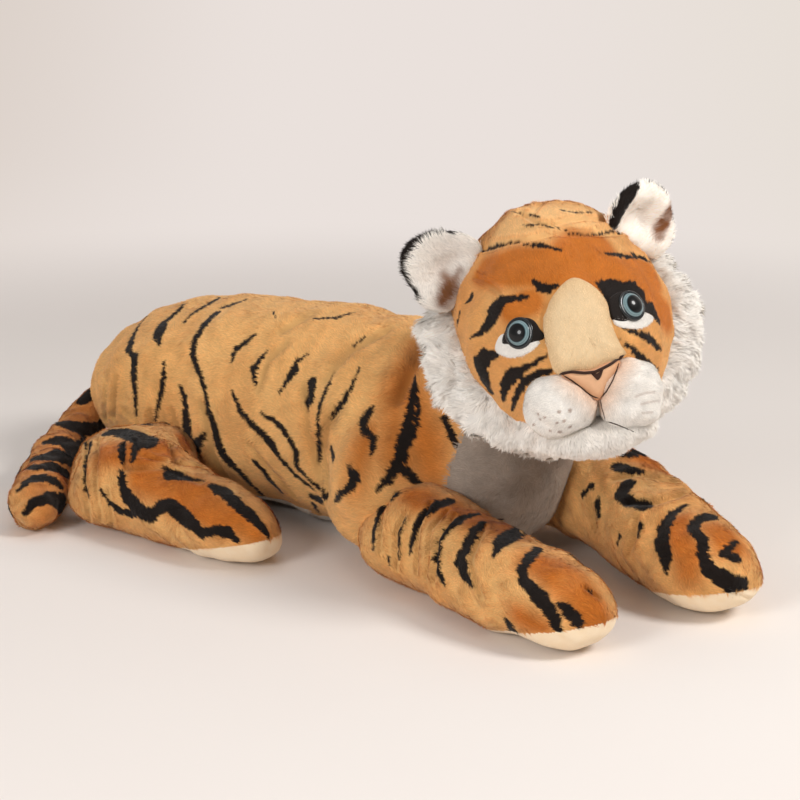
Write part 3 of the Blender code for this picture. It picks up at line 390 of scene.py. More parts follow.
look_back = Vector(
    (
        math.sin(CAMERA_AZIMUTH) * math.cos(CAMERA_ELEVATION),
        -math.cos(CAMERA_AZIMUTH) * math.cos(CAMERA_ELEVATION),
        math.sin(CAMERA_ELEVATION),
    )
)
camera_place = CAMERA_TARGET + look_back * CAMERA_DISTANCE
camera_right = Vector((math.cos(CAMERA_AZIMUTH), math.sin(CAMERA_AZIMUTH), 0))
camera_up = look_back.cross(camera_right)
camera_data = bpy.data.cameras.new("camera")
camera_data.lens = CAMERA_LENS
camera_data.sensor_width = CAMERA_SENSOR
camera = bpy.data.objects.new("camera", camera_data)
bpy.context.scene.collection.objects.link(camera)
camera.matrix_world = Matrix.Translation(camera_place) @ Matrix(
    (camera_right, camera_up, look_back)
).transposed().to_4x4()
bpy.context.scene.camera = camera


def ray_through(across, down):
    """The direction of the camera's ray through a pixel of the photograph."""
    half = PHOTO_SIDE / 2
    ray = camera_right * (across - half) - camera_up * (down - half) - look_back * FOCAL_PIXELS
    return ray.normalized()


# Skins

class Skin:
    """A form's outer surface as arrays: points, normals, twins (mirrored points), naps."""

    def __init__(self, points, faces, uvs, naps, twins, seen):
        self.points = points
        self.faces = faces
        self.uvs = uvs
        self.naps = naps
        self.twins = twins
        self.seen = seen
        self.paired = 1.0
        self.mirror = None
        self.settle()

    def triangles(self):
        quads = self.faces
        first = quads[:, [0, 1, 2]]
        second = quads[:, [0, 2, 3]]
        second = second[second[:, 1] != second[:, 2]]
        return np.concatenate((first, second))

    def settle(self):
        """Works out the normals from the present points."""
        tris = self.triangles()
        a, b, c = (self.points[tris[:, k]] for k in range(3))
        cross = np.cross(b - a, c - a)
        normals = np.zeros_like(self.points)
        for k in range(3):
            for axis in range(3):
                normals[:, axis] += np.bincount(
                    tris[:, k], cross[:, axis], minlength=len(self.points)
                )
        self.normals = unit(normals)
        if self.mirror is not None:
            self.twins = self.points[self.mirror]

    def tree(self):
        return BVHTree.FromPolygons(self.points.tolist(), self.triangles().tolist())

    def turn_over(self):
        """Winds the faces the other way, each triangle still with its last corner repeated."""
        single = self.faces[:, 2] == self.faces[:, 3]
        self.faces, self.uvs = self.faces[:, [2, 1, 0, 3]], self.uvs[:, [2, 1, 0, 3]]
        self.faces[single, 3] = self.faces[single, 2]
        self.uvs[single, 3] = self.uvs[single, 2]
        self.settle()

    def face_out(self):
        """Makes a closed skin's normals look away from its middle."""
        if ((self.points - self.points.mean(0)) * self.normals).sum() < 0:
            self.turn_over()


def spline_weights(count, places, wraps):
    """Uniform cubic B-spline weights of each control row at each place."""
    whole = np.floor(places).astype(int)
    part = places - whole
    weights = np.zeros((len(places), count))
    four = (
        (1 - part) ** 3 / 6,
        (3 * part**3 - 6 * part**2 + 4) / 6,
        (-3 * part**3 + 3 * part**2 + 3 * part + 1) / 6,
        part**3 / 6,
    )
    for offset, weight in enumerate(four):
        index = whole + offset - 1
        index = index % count if wraps else np.clip(index, 0, count - 1)
        np.add.at(weights, (np.arange(len(places)), index), weight)
    return weights


def lofted(rings, flat_first, across_count, step=GRID):
    """A closed smooth skin through control rings, with rows evenly spaced along it."""
    rings = np.asarray(rings, float)
    sides = rings.shape[1]
    poles = [np.repeat(rings[k].mean(0)[None, None], 3, 0).repeat(sides, 1) for k in (0, -1)]
    cage = np.concatenate((poles[0], rings, poles[1]))
    turns = np.arange(across_count) / across_count
    around = spline_weights(sides, turns * sides - flat_first, True)
    fine = np.linspace(1, len(cage) - 2, 600)
    rows = np.einsum("ur,rsk,vs->uvk", spline_weights(len(cage), fine, False), cage, around)
    gaps = np.linalg.norm(np.diff(rows, axis=0), axis=2).mean(1)
    travelled = np.concatenate(([0], np.cumsum(gaps)))
    count = max(int(travelled[-1] / step), 12)
    even = np.interp(np.linspace(0, travelled[-1], count + 1), travelled, fine)
    grid = np.einsum("ur,rsk,vs->uvk", spline_weights(len(cage), even, False), cage, around)
    ahead = unit(np.gradient(grid.mean(1), axis=0))
    return grid, np.repeat(ahead[:, None], across_count, 1)


def skin_from_grid(grid, ahead):
    """A skin from rows of points, its first and last rows closed at a pole."""
    rows, columns = grid.shape[:2]
    points = grid.reshape(-1, 3)
    index = np.arange(rows * columns).reshape(rows, columns)
    index[0] = index[0, 0]
    index[-1] = index[-1, 0]
    nxt = np.roll(index, -1, axis=1)
    faces = np.stack((index[:-1], nxt[:-1], nxt[1:], index[1:]), -1).reshape(-1, 4)
    column = np.arange(columns) / columns
    row = np.arange(rows) / (rows - 1)
    left, right = column, column + 1 / columns
    uvs = np.zeros((rows - 1, columns, 4, 2))
    for corner, (side, level) in enumerate(((left, 0), (right, 0), (right, 1), (left, 1))):
        uvs[:, :, corner, 0] = side[None]
        uvs[:, :, corner, 1] = (row[:-1] if level == 0 else row[1:])[:, None]
    uvs = uvs.reshape(-1, 4, 2)
    swap = faces[:, 0] == faces[:, 1]
    faces[swap] = faces[swap][:, [1, 2, 3, 3]]
    uvs[swap] = uvs[swap][:, [1, 2, 3, 3]]
    mirror = (columns // 2 - np.arange(columns)) % columns
    twins = grid[:, mirror].reshape(-1, 3)
    middle = grid.mean(1, keepdims=True)
    side = unit(np.cross(np.array((0, 0, 1.0)), ahead))
    towards = np.sign((side * np.array(camera_right.cross(Vector((0, 0, 1))))).sum(-1))
    lean = ((grid - middle) * side).sum(-1) * towards
    skin = Skin(points, faces, uvs, ahead.reshape(-1, 3), twins, (lean >= 0).reshape(-1))
    facing = ((np.array(camera_place) - points) * skin.normals).sum(1) > 0
    facing = facing.reshape(rows, columns)
    other = facing[:, mirror]
    skin.seen = (facing | ((lean >= 0) & ~other)).reshape(-1)
    skin.mirror = (np.arange(rows)[:, None] * columns + mirror[None]).reshape(-1)
    return skin


def fullness(sides):
    """How far out a B-spline through a regular ring's corners reaches, as a share of them."""
    return (6 + 2 * math.cos(2 * math.pi / sides)) / 8


def stuffed(places, sides, squareness, across_count):
    """The skin of a stuffed form through (centre, half width, half height) stations."""
    full = fullness(sides)
    flat_first = 0 if sides % 4 else 0.5
    rings = []
    for number, (centre, half_width, half_height) in enumerate(places):
        before = places[max(number - 1, 0)][0]
        after = places[min(number + 1, len(places) - 1)][0]
        ahead = (Vector(after) - Vector(before)).normalized()
        side = Vector((0, 0, 1)).cross(ahead).normalized()
        rise = ahead.cross(side)
        ring = []
        for corner in range(sides):
            angle = 2 * math.pi * (corner + flat_first) / sides
            across, up = math.cos(angle), math.sin(angle)
            if up < 0:
                across = math.copysign(abs(across) ** squareness, across)
                up = math.copysign(abs(up) ** squareness, up)
            ring.append(
                Vector(centre)
                + side * (across * half_width / full)
                + rise * (up * half_height / full)
            )
        rings.append(ring)
    grid, ahead = lofted(rings, flat_first, across_count)
    grid[..., 2] -= grid[..., 2].min() + FLAT_DEPTH
    return skin_from_grid(grid, ahead)


def above_floor(skin):
    """Flattens the skin where it would sink into the floor."""
    skin.points[:, 2] = np.maximum(skin.points[:, 2], BARE_HEIGHT)
    skin.settle()


# Strokes drawn through the camera

def within(points, line, reach):
    """The numbers of the points inside a line's bounding box, widened by reach."""
    low, high = line.min(0) - reach, line.max(0) + reach
    return np.flatnonzero(((points >= low) & (points <= high)).all(1))


def along_band(band):
    """A band's three values at even steps along it."""
    band = np.array(band, float)
    at = np.linspace(0, len(band) - 1, BAND_STEPS)
    return [np.interp(at, np.arange(len(band)), band[:, k]) for k in range(3)]


class Strokes:
    """Strokes of the photograph laid on a surface: samples with half widths in metres."""

    def __init__(self, tree, view, strokes):
        scale, left, top = view
        self.lines = []
        origin = camera_place
        for stroke in strokes:
            stroke = np.array(stroke, float)
            pixels = np.column_stack((stroke[:, 0] / scale + left, stroke[:, 1] / scale + top))
            widths = stroke[:, 2] / scale
            steps = np.concatenate(
                ([0], np.cumsum(np.linalg.norm(np.diff(pixels, axis=0), axis=1)))
            )
            count = max(int(steps[-1] / STROKE_STEP), 2)
            at = np.linspace(0, steps[-1], count + 1)
            across, down, wide = (
                np.interp(at, steps, column) for column in (pixels[:, 0], pixels[:, 1], widths)
            )
            way = np.gradient(np.column_stack((across, down)), axis=0)
            way = unit(way)[:, ::-1] * np.array((-1, 1))
            places, halves = [], []
            for number in range(len(at)):
                centre = np.array((across[number], down[number]))
                hit = tree.ray_cast(origin, ray_through(*centre))[0]
                if hit is None:
                    continue
                distance = (hit - origin).length
                half_drawn = wide[number] / 2
                half = half_drawn * distance / FOCAL_PIXELS
                probe = max(half_drawn, 1.0)
                reach = []
                for sign in (-1, 1):
                    edge = centre + sign * way[number] * probe
                    side_hit = tree.ray_cast(origin, ray_through(*edge))[0]
                    if side_hit is not None:
                        reach.append((side_hit - hit).length)
                if reach:
                    true_half = min(reach) * half_drawn / probe
                    half = min(max(half, true_half), half * 2.0)
                places.append(hit)
                halves.append(max(half + STROKE_SPREAD, THINNEST_STROKE))
            if places:
                self.lines.append((np.array(places), np.array(halves)))

    def nearest(self, points, room, outside, measure):
        """The most that measure gives of each point's depth in the strokes near it."""
        found = np.full(len(points), outside)
        for places, halves in self.lines:
            near = within(points, places, halves.max() + room)
            for start in range(0, len(near), CHUNK):
                part = near[start : start + CHUNK]
                gap = np.linalg.norm(points[part, None] - places[None], axis=2)
                found[part] = np.maximum(found[part], measure(halves[None] - gap).max(1))
        return found

    def depth(self, points):
        """How far inside the nearest stroke each point lies; negative outside."""
        return self.nearest(points, STROKE_ROOM, -1.0, lambda inside: inside)

    def share(self, points, blur):
        """A soft mask that fades over blur metres outside each stroke's middle."""
        return self.nearest(points, blur * 2, 0.0,
                            lambda inside: smooth(inside, -blur, blur * 0.6))


def frayed(depth, points, seed):
    """A stripe mask whose edge is ragged, as pile makes it."""
    edge = depth + 0.0006 * ripple(points, 0.007, seed) + 0.0003 * ripple(points, 0.003, seed + 1)
    return smooth(edge, -0.0003, 0.0005)


# Meshes

def filled_mesh(name, points, corners, starts, uvs):
    """A mesh from its points, all face corners in a row, each face's first one, and UVs."""
    mesh = bpy.data.meshes.new(name)
    mesh.vertices.add(len(points))
    mesh.vertices.foreach_set("co", np.asarray(points, np.float32).ravel())
    mesh.loops.add(len(corners))
    mesh.loops.foreach_set("vertex_index", corners.astype(np.int32))
    mesh.polygons.add(len(starts))
    mesh.polygons.foreach_set("loop_start", starts.astype(np.int32))
    layer = mesh.uv_layers.new(name="OFBake")
    layer.data.foreach_set("uv", np.asarray(uvs, np.float32).ravel())
    mesh.update(calc_edges=True)
    return mesh


def new_mesh(name, points, faces, uvs):
    """A smooth mesh from quads, where a triangle is a quad with its last corner repeated."""
    keep = np.ones(faces.shape, bool)
    keep[faces[:, 2] == faces[:, 3], 3] = False
    starts = np.concatenate(([0], np.cumsum(keep.sum(1))[:-1]))
    used, corners = np.unique(faces[keep], return_inverse=True)
    mesh = filled_mesh(name, points[used], corners, starts, uvs[keep])
    mesh.polygons.foreach_set("use_smooth", np.ones(len(faces), bool))
    return mesh, used


def colour_attribute(mesh, name, values):
    attribute = mesh.color_attributes.new(name=name, type="FLOAT_COLOR", domain="POINT")
    attribute.data.foreach_set("color", np.asarray(values, np.float32).ravel())


def add_piece(name, mesh, body, material, nodes=()):
    """A mesh as a piece of a body, in place of the solids that nodes names."""
    piece = bpy.data.objects.new(name, mesh)
    bpy.context.scene.collection.objects.link(piece)
    mesh.materials.append(material)
    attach(piece, body)
    if nodes:
        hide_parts(*nodes)
    return piece


# Materials

class Nodes:
    """A short way to write a material's node tree."""

    def __init__(self, name):
        self.material = bpy.data.materials.new(name)
        self.material.use_nodes = True
        self.tree = self.material.node_tree
        self.shader = self.tree.nodes["Principled BSDF"]

    def feed(self, socket, value):
        """Links another node's output to a socket, or sets a plain value."""
        if hasattr(value, "links"):
            self.tree.links.new(value, socket)
        else:
            socket.default_value = value

    def add(self, kind, inputs=(), **settings):
        node = self.tree.nodes.new(kind)
        for key, value in settings.items():
            setattr(node, key, value)
        for key, value in dict(inputs).items():
            self.feed(node.inputs[key], value)
        return node

    def mix(self, factor, first, second, blend="MIX"):
        return self.add("ShaderNodeMix", {0: factor, 6: first, 7: second}, data_type="RGBA",
                        blend_type=blend).outputs[2]

    def math(self, operation, first, second=0.0, third=0.0, clamp=False):
        return self.add("ShaderNodeMath", {0: first, 1: second, 2: third}, operation=operation,
                        use_clamp=clamp).outputs[0]

    def noise(self, scale, detail=3.0, rough=0.55):
        place = self.add("ShaderNodeTexCoord").outputs["Object"]
        return self.add(
            "ShaderNodeTexNoise",
            {"Vector": place, "Scale": scale, "Detail": detail, "Roughness": rough},
        ).outputs["Fac"]

    def bump(self, height, strength, distance):
        node = self.add(
            "ShaderNodeBump", {"Height": height, "Strength": strength, "Distance": distance}
        )
        self.tree.links.new(node.outputs[0], self.shader.inputs["Normal"])

    def finish(self, colour, rough, sheen, specular, coat=0.0, coat_rough=0.03):
        """Sets the shader and gives back the finished material."""
        for key, value in {
            "Base Color": colour,
            "Roughness": rough,
            "Sheen Weight": sheen,
            "Sheen Roughness": 0.5,
            "Specular IOR Level": specular,
            "Coat Weight": coat,
            "Coat Roughness": coat_rough,
        }.items():
            self.feed(self.shader.inputs[key], value)
        return self.material


def tinted(name, base, base_other, green, blue, red, bump=0.0, bump_scale=700.0,
           bump_distance=0.0015, blotches=(30.0, 3.0), grain=180.0, rough=0.9, sheen=0.1,
           specular=0.2):
    """A fabric whose pile attribute mixes three more colours over its base, with its shade."""
    nodes = Nodes(name)
    pile = nodes.add("ShaderNodeAttribute", attribute_name="pile")
    shares = nodes.add("ShaderNodeSeparateColor", {"Color": pile.outputs["Color"]})
    tone = nodes.mix(nodes.math("MULTIPLY", nodes.noise(*blotches), 0.9, clamp=True),
                     linear(base), linear(base_other))
    for share, colour in (("Green", green), ("Blue", blue), ("Red", red)):
        tone = nodes.mix(shares.outputs[share], tone, linear(colour))
    shade = nodes.math("MULTIPLY", pile.outputs["Alpha"],
                       nodes.math("MULTIPLY_ADD", nodes.noise(grain, 3.0), 0.2, 0.9))
    shade = nodes.add("ShaderNodeCombineColor", {"Red": shade, "Green": shade, "Blue": shade})
    tone = nodes.mix(1.0, tone, shade.outputs[0], "MULTIPLY")
    if bump:
        nodes.bump(nodes.noise(bump_scale, 4.0, 0.7), bump, bump_distance)
    return nodes.finish(tone, rough, sheen, specular)


def plush(name, bump):
    """The striped plush: its attribute holds the dark, deep and white shares, and the shade."""
    return tinted(name, "tan", "tan_pale", "orange", "white", "black", bump, 700.0, 0.002,
                  (14.0, 2.0), 160.0, 0.92, 0.12, 0.15)


SKIN_MATERIAL = plush("plush_backing", 0.35)
PILE_MATERIAL = plush("plush_pile", 0.0)


def pile_values(dark, deep, white, shade):
    return np.column_stack((dark, deep, white, shade))


# Pile

def sown(skin, density, draw, keep):
    """Seeded roots spread evenly over the skin's faces where keep allows."""
    tris = skin.triangles()
    a, b, c = (skin.points[tris[:, k]] for k in range(3))
    area = np.linalg.norm(np.cross(b - a, c - a), axis=1) / 2
    allowed = keep[tris].all(1)
    area = np.where(allowed, area, 0)
    total = area.sum()
    count = int(total * density)
    spots = (np.arange(count) + draw.uniform(0, 1, count)) / count * total
    chosen = np.minimum(np.searchsorted(np.cumsum(area), spots), len(area) - 1)
    first = np.sqrt(draw.uniform(0, 1, count))
    second = draw.uniform(0, 1, count)
    weights = np.column_stack((1 - first, first * (1 - second), first * second))
    corners = tris[chosen]

    def blended(values):
        return (values[corners] * weights[..., None]).sum(1)

    return blended, corners, weights


def grow(name, skin, keep, paint, body, density, length, width, lift, seed, stray=0.35,
         segments=1, clump=0.0, clump_size=0.010, material=None, root_to_tip_shade=(0.88, 1.08), lean=0.18):
    """Pile as thin tapering blades combed along the skin's nap."""
    draw = np.random.default_rng(seed)
    blended, corners, weights = sown(skin, density, draw, keep)
    count = len(corners)
    roots = blended(skin.points)
    normals = unit(blended(skin.normals))
    naps = blended(skin.naps)
    twins = blended(skin.twins)
    seen = skin.seen[corners[:, 0]]
    naps = unit(naps - normals * (naps * normals).sum(1, keepdims=True) + 1e-9)
    sides = np.cross(normals, naps)
    swing = (
        0.35 * ripple(roots, 0.05, seed + 1)
        + 0.22 * ripple(roots, 0.014, seed + 2)
        + stray * draw.normal(size=count) * 0.6
    )
    naps, sides = (
        naps * np.cos(swing)[:, None] + sides * np.sin(swing)[:, None],
        sides * np.cos(swing)[:, None] - naps * np.sin(swing)[:, None],
    )
    ahead = naps * length * PAINT_REACH
    values = paint(roots + ahead, twins + ahead * skin.paired, seen)
    longs = length * draw.uniform(0.7, 1.2, count) * values[1]
    lifts = lift * draw.uniform(0.5, 1.7, count)
    if clump:
        pull = np.stack(
            [ripple(roots, clump_size, seed + 5 + axis) for axis in range(3)], axis=1
        )
        naps = unit(naps + clump * pull)
    rolls = draw.normal(size=count) * 0.35
    across = sides * np.cos(rolls)[:, None] + normals * np.sin(rolls)[:, None]
    half = width / 2 * draw.uniform(0.7, 1.3, count)
    base = roots - normals * 0.0004
    levels = segments + 1
    points = np.zeros((count, 2 * segments + 1, 3), np.float32)
    for level in range(segments + 1):
        share = level / segments
        curve = lifts * (1 - 0.6 * share)
        out = base + (
            naps * np.cos(curve)[:, None] + normals * np.sin(curve)[:, None]
        ) * (longs * share)[:, None]
        if level == segments:
            points[:, 2 * segments] = out
        else:
            taper = (half * (1 - 0.55 * share))[:, None]
            points[:, 2 * level] = out + across * taper
            points[:, 2 * level + 1] = out - across * taper
    points[..., 2] = np.maximum(points[..., 2], BARE_HEIGHT)
    # Painted shade at each blade's root, lightening towards its tip
    shade_by_level = np.linspace(*root_to_tip_shade, levels)
    shade = values[0][:, 3] * draw.uniform(0.92, 1.06, count)
    facing = unit(normals + sides * draw.normal(size=(count, 1)) * lean - naps * 0.08)
    parts = int(math.ceil(count * (2 * segments - 1) / MOST_FACES))
    for number, chosen in enumerate(np.array_split(np.arange(count), parts)):
        label = name if parts == 1 else f"{name}_{number}"
        blade_mesh(label, points[chosen], values[0][chosen], shade[chosen], shade_by_level, facing[chosen],
                   segments, body, material or PILE_MATERIAL)


def blade_mesh(name, points, values, shade, shade_by_level, facing, segments, body, material):
    """One piece of pile: a mesh of blades, each with its own small cell of the bake."""
    count = len(points)
    corners = 2 * segments + 1
    pattern = []
    for level in range(segments - 1):
        k = 2 * level
        pattern += [(k, k + 1, k + 3), (k, k + 3, k + 2)]
    k = 2 * (segments - 1)
    pattern.append((k, k + 1, k + 2))
    start = (np.arange(count) * corners)[:, None, None]
    faces = (start + np.array(pattern)[None]).reshape(-1, 3)
    columns = int(math.ceil(math.sqrt(count)))
    cell = np.stack((np.arange(count) % columns, np.arange(count) // columns), 1) / columns
    spots = np.zeros((corners, 2))
    colours = np.repeat(values[:, None], corners, 1)
    for level in range(segments + 1):
        rise = 0.15 + 0.7 * level / segments
        if level == segments:
            spots[2 * segments] = (0.5, rise)
        else:
            spots[2 * level] = (0.15, rise)
            spots[2 * level + 1] = (0.85, rise)
        end = 2 * level + 2 if level < segments else corners
        # each level of the blade gets its painted shade
        colours[:, 2 * level : end, 3] = (shade * shade_by_level[level])[:, None]
    uv = (cell[:, None] + spots[None] / columns).reshape(-1, 2)[faces]
    starts = np.arange(0, len(faces) * 3, 3)
    mesh = filled_mesh(name, points.reshape(-1, 3), faces.ravel(), starts, uv)
    colour_attribute(mesh, "pile", colours.reshape(-1, 4))
    mesh.normals_split_custom_set_from_vertices(
        np.repeat(facing, corners, 0).astype(np.float32)
    )
    return add_piece(name, mesh, body, material)


def show_skin(name, skin, chosen, values, body, nodes, material=None, backing_shade=0.82):
    """A skin's chosen faces as a piece."""
    mesh, used = new_mesh(name, skin.points, skin.faces[chosen], skin.uvs[chosen])
    values = values[used].copy()
    # The backing under the pile is darkened: painted shade
    values[:, 3] *= backing_shade
    colour_attribute(mesh, "pile", values)
    return add_piece(name, mesh, body, material or SKIN_MATERIAL, nodes)

# Folds pressed into the skins

# Folds drawn as strokes of (across, down, width), with their depths in millimetres. On the torso and
# legs the same strokes also darken the pile: painted shade in the creases.
TORSO_FOLDS = (
    ((1345, 560, 40), (1305, 640, 44), (1285, 720, 48), (1300, 800, 48), (1318, 880, 44)),
    ((1700, 300, 60), (1640, 420, 60), (1600, 520, 50)),
    ((1225, 470, 24), (1235, 600, 26), (1260, 720, 26), (1290, 880, 24)),
    ((1395, 500, 22), (1345, 620, 22)),
    ((470, 430, 16), (462, 520, 18), (458, 590, 16)),
    ((425, 430, 14), (430, 540, 16), (428, 600, 14)),
    ((505, 560, 14), (545, 590, 16), (560, 620, 14)),
    ((610, 560, 16), (612, 640, 20), (600, 680, 18)),
    ((695, 560, 18), (720, 640, 20), (720, 720, 20)),
    ((815, 540, 26), (835, 640, 30), (850, 740, 34), (900, 820, 34)),
    ((1000, 700, 20), (1080, 800, 22), (1180, 900, 20)),
    ((1150, 300, 26), (1080, 360, 26), (1040, 480, 22)),
    ((1540, 250, 40), (1400, 330, 36), (1310, 440, 30)),
    ((1250, 180, 30), (1130, 250, 28)),
)
TORSO_FOLD_DEPTHS = (7.0, 6.0, 3.6, 2.4, 4.6, 4.4, 5.4, 6.4, 4.6, 5.0, 3.0, 2.4, 3.4, 2.2)
HIND_FOLDS = (
    ((490, 700, 20), (500, 790, 22)),
    ((350, 690, 10), (338, 840, 11), (356, 1000, 10)),
    ((392, 680, 10), (380, 860, 12), (400, 1000, 10)),
    ((680, 700, 18), (700, 770, 20), (800, 790, 16)),
    ((500, 800, 18), (640, 790, 20), (800, 850, 18)),
    ((430, 640, 11), (520, 630, 13), (600, 660, 11)),
    ((540, 680, 12), (560, 740, 14), (660, 770, 12)),
    ((430, 880, 10), (450, 1040, 10)),
)
HIND_FOLD_DEPTHS = (3.6, 2.6, 2.8, 5.0, 2.4, 3.2, 3.4, 2.2)
NEAR_LEG_FOLDS = (
    ((150, 280, 18), (105, 380, 20), (90, 480, 20)),
    ((255, 290, 12), (205, 370, 14), (195, 520, 12)),
    ((300, 370, 12), (262, 450, 14), (262, 590, 12)),
    ((400, 330, 12), (352, 430, 14), (345, 600, 13)),
    ((470, 360, 11), (400, 440, 14), (385, 620, 13)),
    ((500, 380, 11), (430, 470, 15), (415, 640, 14)),
    ((620, 420, 16), (560, 560, 22), (600, 700, 22)),
    ((1020, 670, 14), (1075, 712, 10)),
)
NEAR_LEG_FOLD_DEPTHS = (5.0, 3.4, 3.6, 3.0, 3.0, 3.4, 3.0, 2.2)
FAR_LEG_FOLDS = (
    ((1130, 235, 26), (1240, 215, 26), (1370, 245, 24)),
    ((1200, 120, 18), (1290, 160, 18)),
    ((1190, 330, 26), (1300, 330, 26), (1400, 300, 20)),
    ((1040, 330, 18), (1060, 420, 18)),
    ((1225, 390, 22), (1215, 480, 22), (1190, 540, 18)),
    ((1590, 680, 14), (1690, 720, 12)),
)
FAR_LEG_FOLD_DEPTHS = (4.0, 2.6, 4.6, 2.6, 3.4, 2.0)
HEAD_FOLDS = (
    ((425, 420, 22), (540, 393, 24), (600, 385, 22), (770, 350, 20), (900, 350, 20),
     (1000, 345, 22), (1105, 340, 20)),
    ((600, 240, 18), (700, 300, 20), (780, 300, 18), (850, 280, 20), (940, 270, 18),
     (1050, 285, 18)),
    ((600, 250, 16), (660, 250, 18), (700, 190, 14)),
    ((760, 290, 14), (775, 360, 14)),
    ((385, 560, 20), (450, 590, 22), (510, 640, 22)),
    ((840, 420, 18), (860, 460, 14)),
    ((715, 740, 20), (720, 820, 20), (740, 900, 20)),
    ((1180, 455, 14), (1260, 490, 14)),
)
HEAD_FOLD_DEPTHS = (3.6, 3.4, 2.4, 2.0, 3.0, 1.5, 1.5, 1.5)


def press(skin, view, strokes, depths, mirrored=True):
    """Sinks each fold into the skin and raises the fabric along both of its edges."""
    tree = skin.tree()
    places = skin.points
    if mirrored:
        places = np.where(skin.seen[:, None], skin.points, skin.twins)
    rise = np.zeros(len(places))
    for stroke, depth in zip(strokes, depths):
        for line, halves in Strokes(tree, view, (stroke,)).lines:
            near = within(places, line, halves.max() * 5)
            if not len(near):
                continue
            gap = np.linalg.norm(places[near, None] - line[None], axis=2)
            narrow = np.exp(-((gap / halves[None]) ** 2)).max(1)
            wide = np.exp(-((gap / (halves[None] * 2.6)) ** 2)).max(1)
            rise[near] += depth / 1000 * (0.7 * wide - 1.5 * narrow)
    skin.points = skin.points + skin.normals * rise[:, None]
    skin.settle()


def wobble(skin, seed, amounts):
    """Uneven stuffing: soft waves of (height, wavelength)."""
    rise = sum(
        height * ripple(skin.points, wavelength, seed + number)
        for number, (height, wavelength) in enumerate(amounts)
    )
    skin.points = skin.points + skin.normals * rise[:, None]
    skin.settle()


def swell(skin, centre, radius, height, way=None):
    """A soft mound round a centre and its mirrored one, raised along way or the normals."""
    rise = np.zeros(len(skin.points))
    for side in (-1, 1):
        gap = np.linalg.norm(skin.points - np.array(centre) * (1, side, 1), axis=1)
        rise = np.maximum(rise, height * np.maximum(1 - (gap / radius) ** 2, 0) ** 2)
    ways = skin.normals
    if way is not None:
        ways = np.array(way) * np.column_stack(
            (np.ones(len(rise)), np.sign(skin.points[:, 1]), np.ones(len(rise))))
    skin.points = skin.points + ways * rise[:, None]
    skin.settle()


# Torso

# Shoulders and haunches, as (centre, radius, height, way or else along the normals)
TORSO_MOUNDS = (
    ((0.147, -0.09, 0.055), 0.088, 0.045, (0.0, 1, -0.30)),
    ((0.163, -0.105, 0.10), 0.072, 0.043, (0.15, 1, -0.05)),
    ((0.13, -0.12, 0.17), 0.10, 0.012),
    ((-0.24, -0.12, 0.13), 0.10, 0.012),
)
torso = stuffed(
    [
        (
            ((along - TORSO_ORIGIN_SHARE) * TORSO_LENGTH, 0, centre * TORSO_HEIGHT),
            width * TORSO_WIDTH / 2,
            height * TORSO_HEIGHT / 2,
        )
        for along, width, height, centre in TORSO_SHARES
    ],
    TORSO_SIDES, TORSO_SQUARENESS, 260,
)
wobble(torso, 21, ((0.0016, 0.10), (0.0007, 0.035)))
for mound in TORSO_MOUNDS:
    swell(torso, *mound)
press(torso, BODY_VIEW, TORSO_FOLDS, TORSO_FOLD_DEPTHS)
above_floor(torso)
torso.naps = -torso.naps
torso_tree = torso.tree()
torso_dark = Strokes(torso_tree, BODY_VIEW, TORSO_STRIPES)
torso_deep = Strokes(torso_tree, BODY_VIEW, TORSO_DEEP)
torso_creases = Strokes(torso_tree, BODY_VIEW, TORSO_FOLDS)

# Bands over the rump and the far side: (metres along, degrees round from the top to the left,
# millimetres of width)
TORSO_BACK_BANDS = (
    ((-0.368, 78, 3), (-0.362, 52, 8), (-0.366, 18, 10), (-0.362, -12, 7), (-0.366, -30, 3)),
    ((-0.348, 118, 3), (-0.338, 100, 8), (-0.347, 84, 9), (-0.336, 66, 3)),
    ((-0.325, 58, 3), (-0.318, 40, 8), (-0.326, 22, 3)),
)


def round_torso(bands):
    """Lines on the torso where rays out of its middle at a place and an angle leave it."""
    lines = Strokes(torso_tree, BODY_VIEW, ())
    for band in bands:
        along, turn, wide = along_band(band)
        places, halves = [], []
        for ahead, angle, width in zip(along, np.radians(turn), wide):
            origin = Vector((ahead, 0, 0.5 * TORSO_HEIGHT))
            hit = torso_tree.ray_cast(origin, Vector((0, math.sin(angle), math.cos(angle))))[0]
            if hit is not None:
                places.append(hit)
                halves.append(width / 2000)
        if places:
            lines.lines.append((np.array(places), np.array(halves)))
    return lines


torso_bands = round_torso(TORSO_BACK_BANDS)

# How much the pile is darkened along the folds: painted shade in the creases
CREASE_PAINTED_SHADE = 0.20
# How much the deep orange is darkened: the deep orange is the pile's own colour, this extra
# darkening is painted shade, as on the shaded shoulder
DEEP_PAINTED_SHADE = 0.12


def paint_torso(roots, twins, seen):
    places = np.where(seen[:, None], roots, twins)
    stray = np.where(seen, 0.0, 1.0)[:, None] * 0.004
    places = places + stray * np.column_stack(
        [ripple(roots, 0.09, 60 + axis) for axis in range(3)]
    )
    dark = np.maximum(torso_dark.depth(places), torso_bands.depth(roots))
    dark = frayed(dark, roots, 31)
    deep = torso_deep.share(places, 0.032) * 0.95
    deep = np.clip(deep + 0.08 * ripple(roots, 0.09, 34), 0, 1)
    shade = 1.0 + 0.04 * ripple(roots, 0.022, 36)
    # painted shade in the creases
    shade -= CREASE_PAINTED_SHADE * torso_creases.share(places, 0.007)
    # painted shade over the deep orange
    shade -= DEEP_PAINTED_SHADE * deep
    return pile_values(dark, deep, np.zeros(len(roots)), shade), np.ones(len(roots))


def paint_white(roots, twins, seen):
    count = len(roots)
    shade = 1.0 + 0.03 * ripple(roots, 0.02, 40)
    return pile_values(np.zeros(count), np.zeros(count), np.ones(count), shade), np.ones(count)


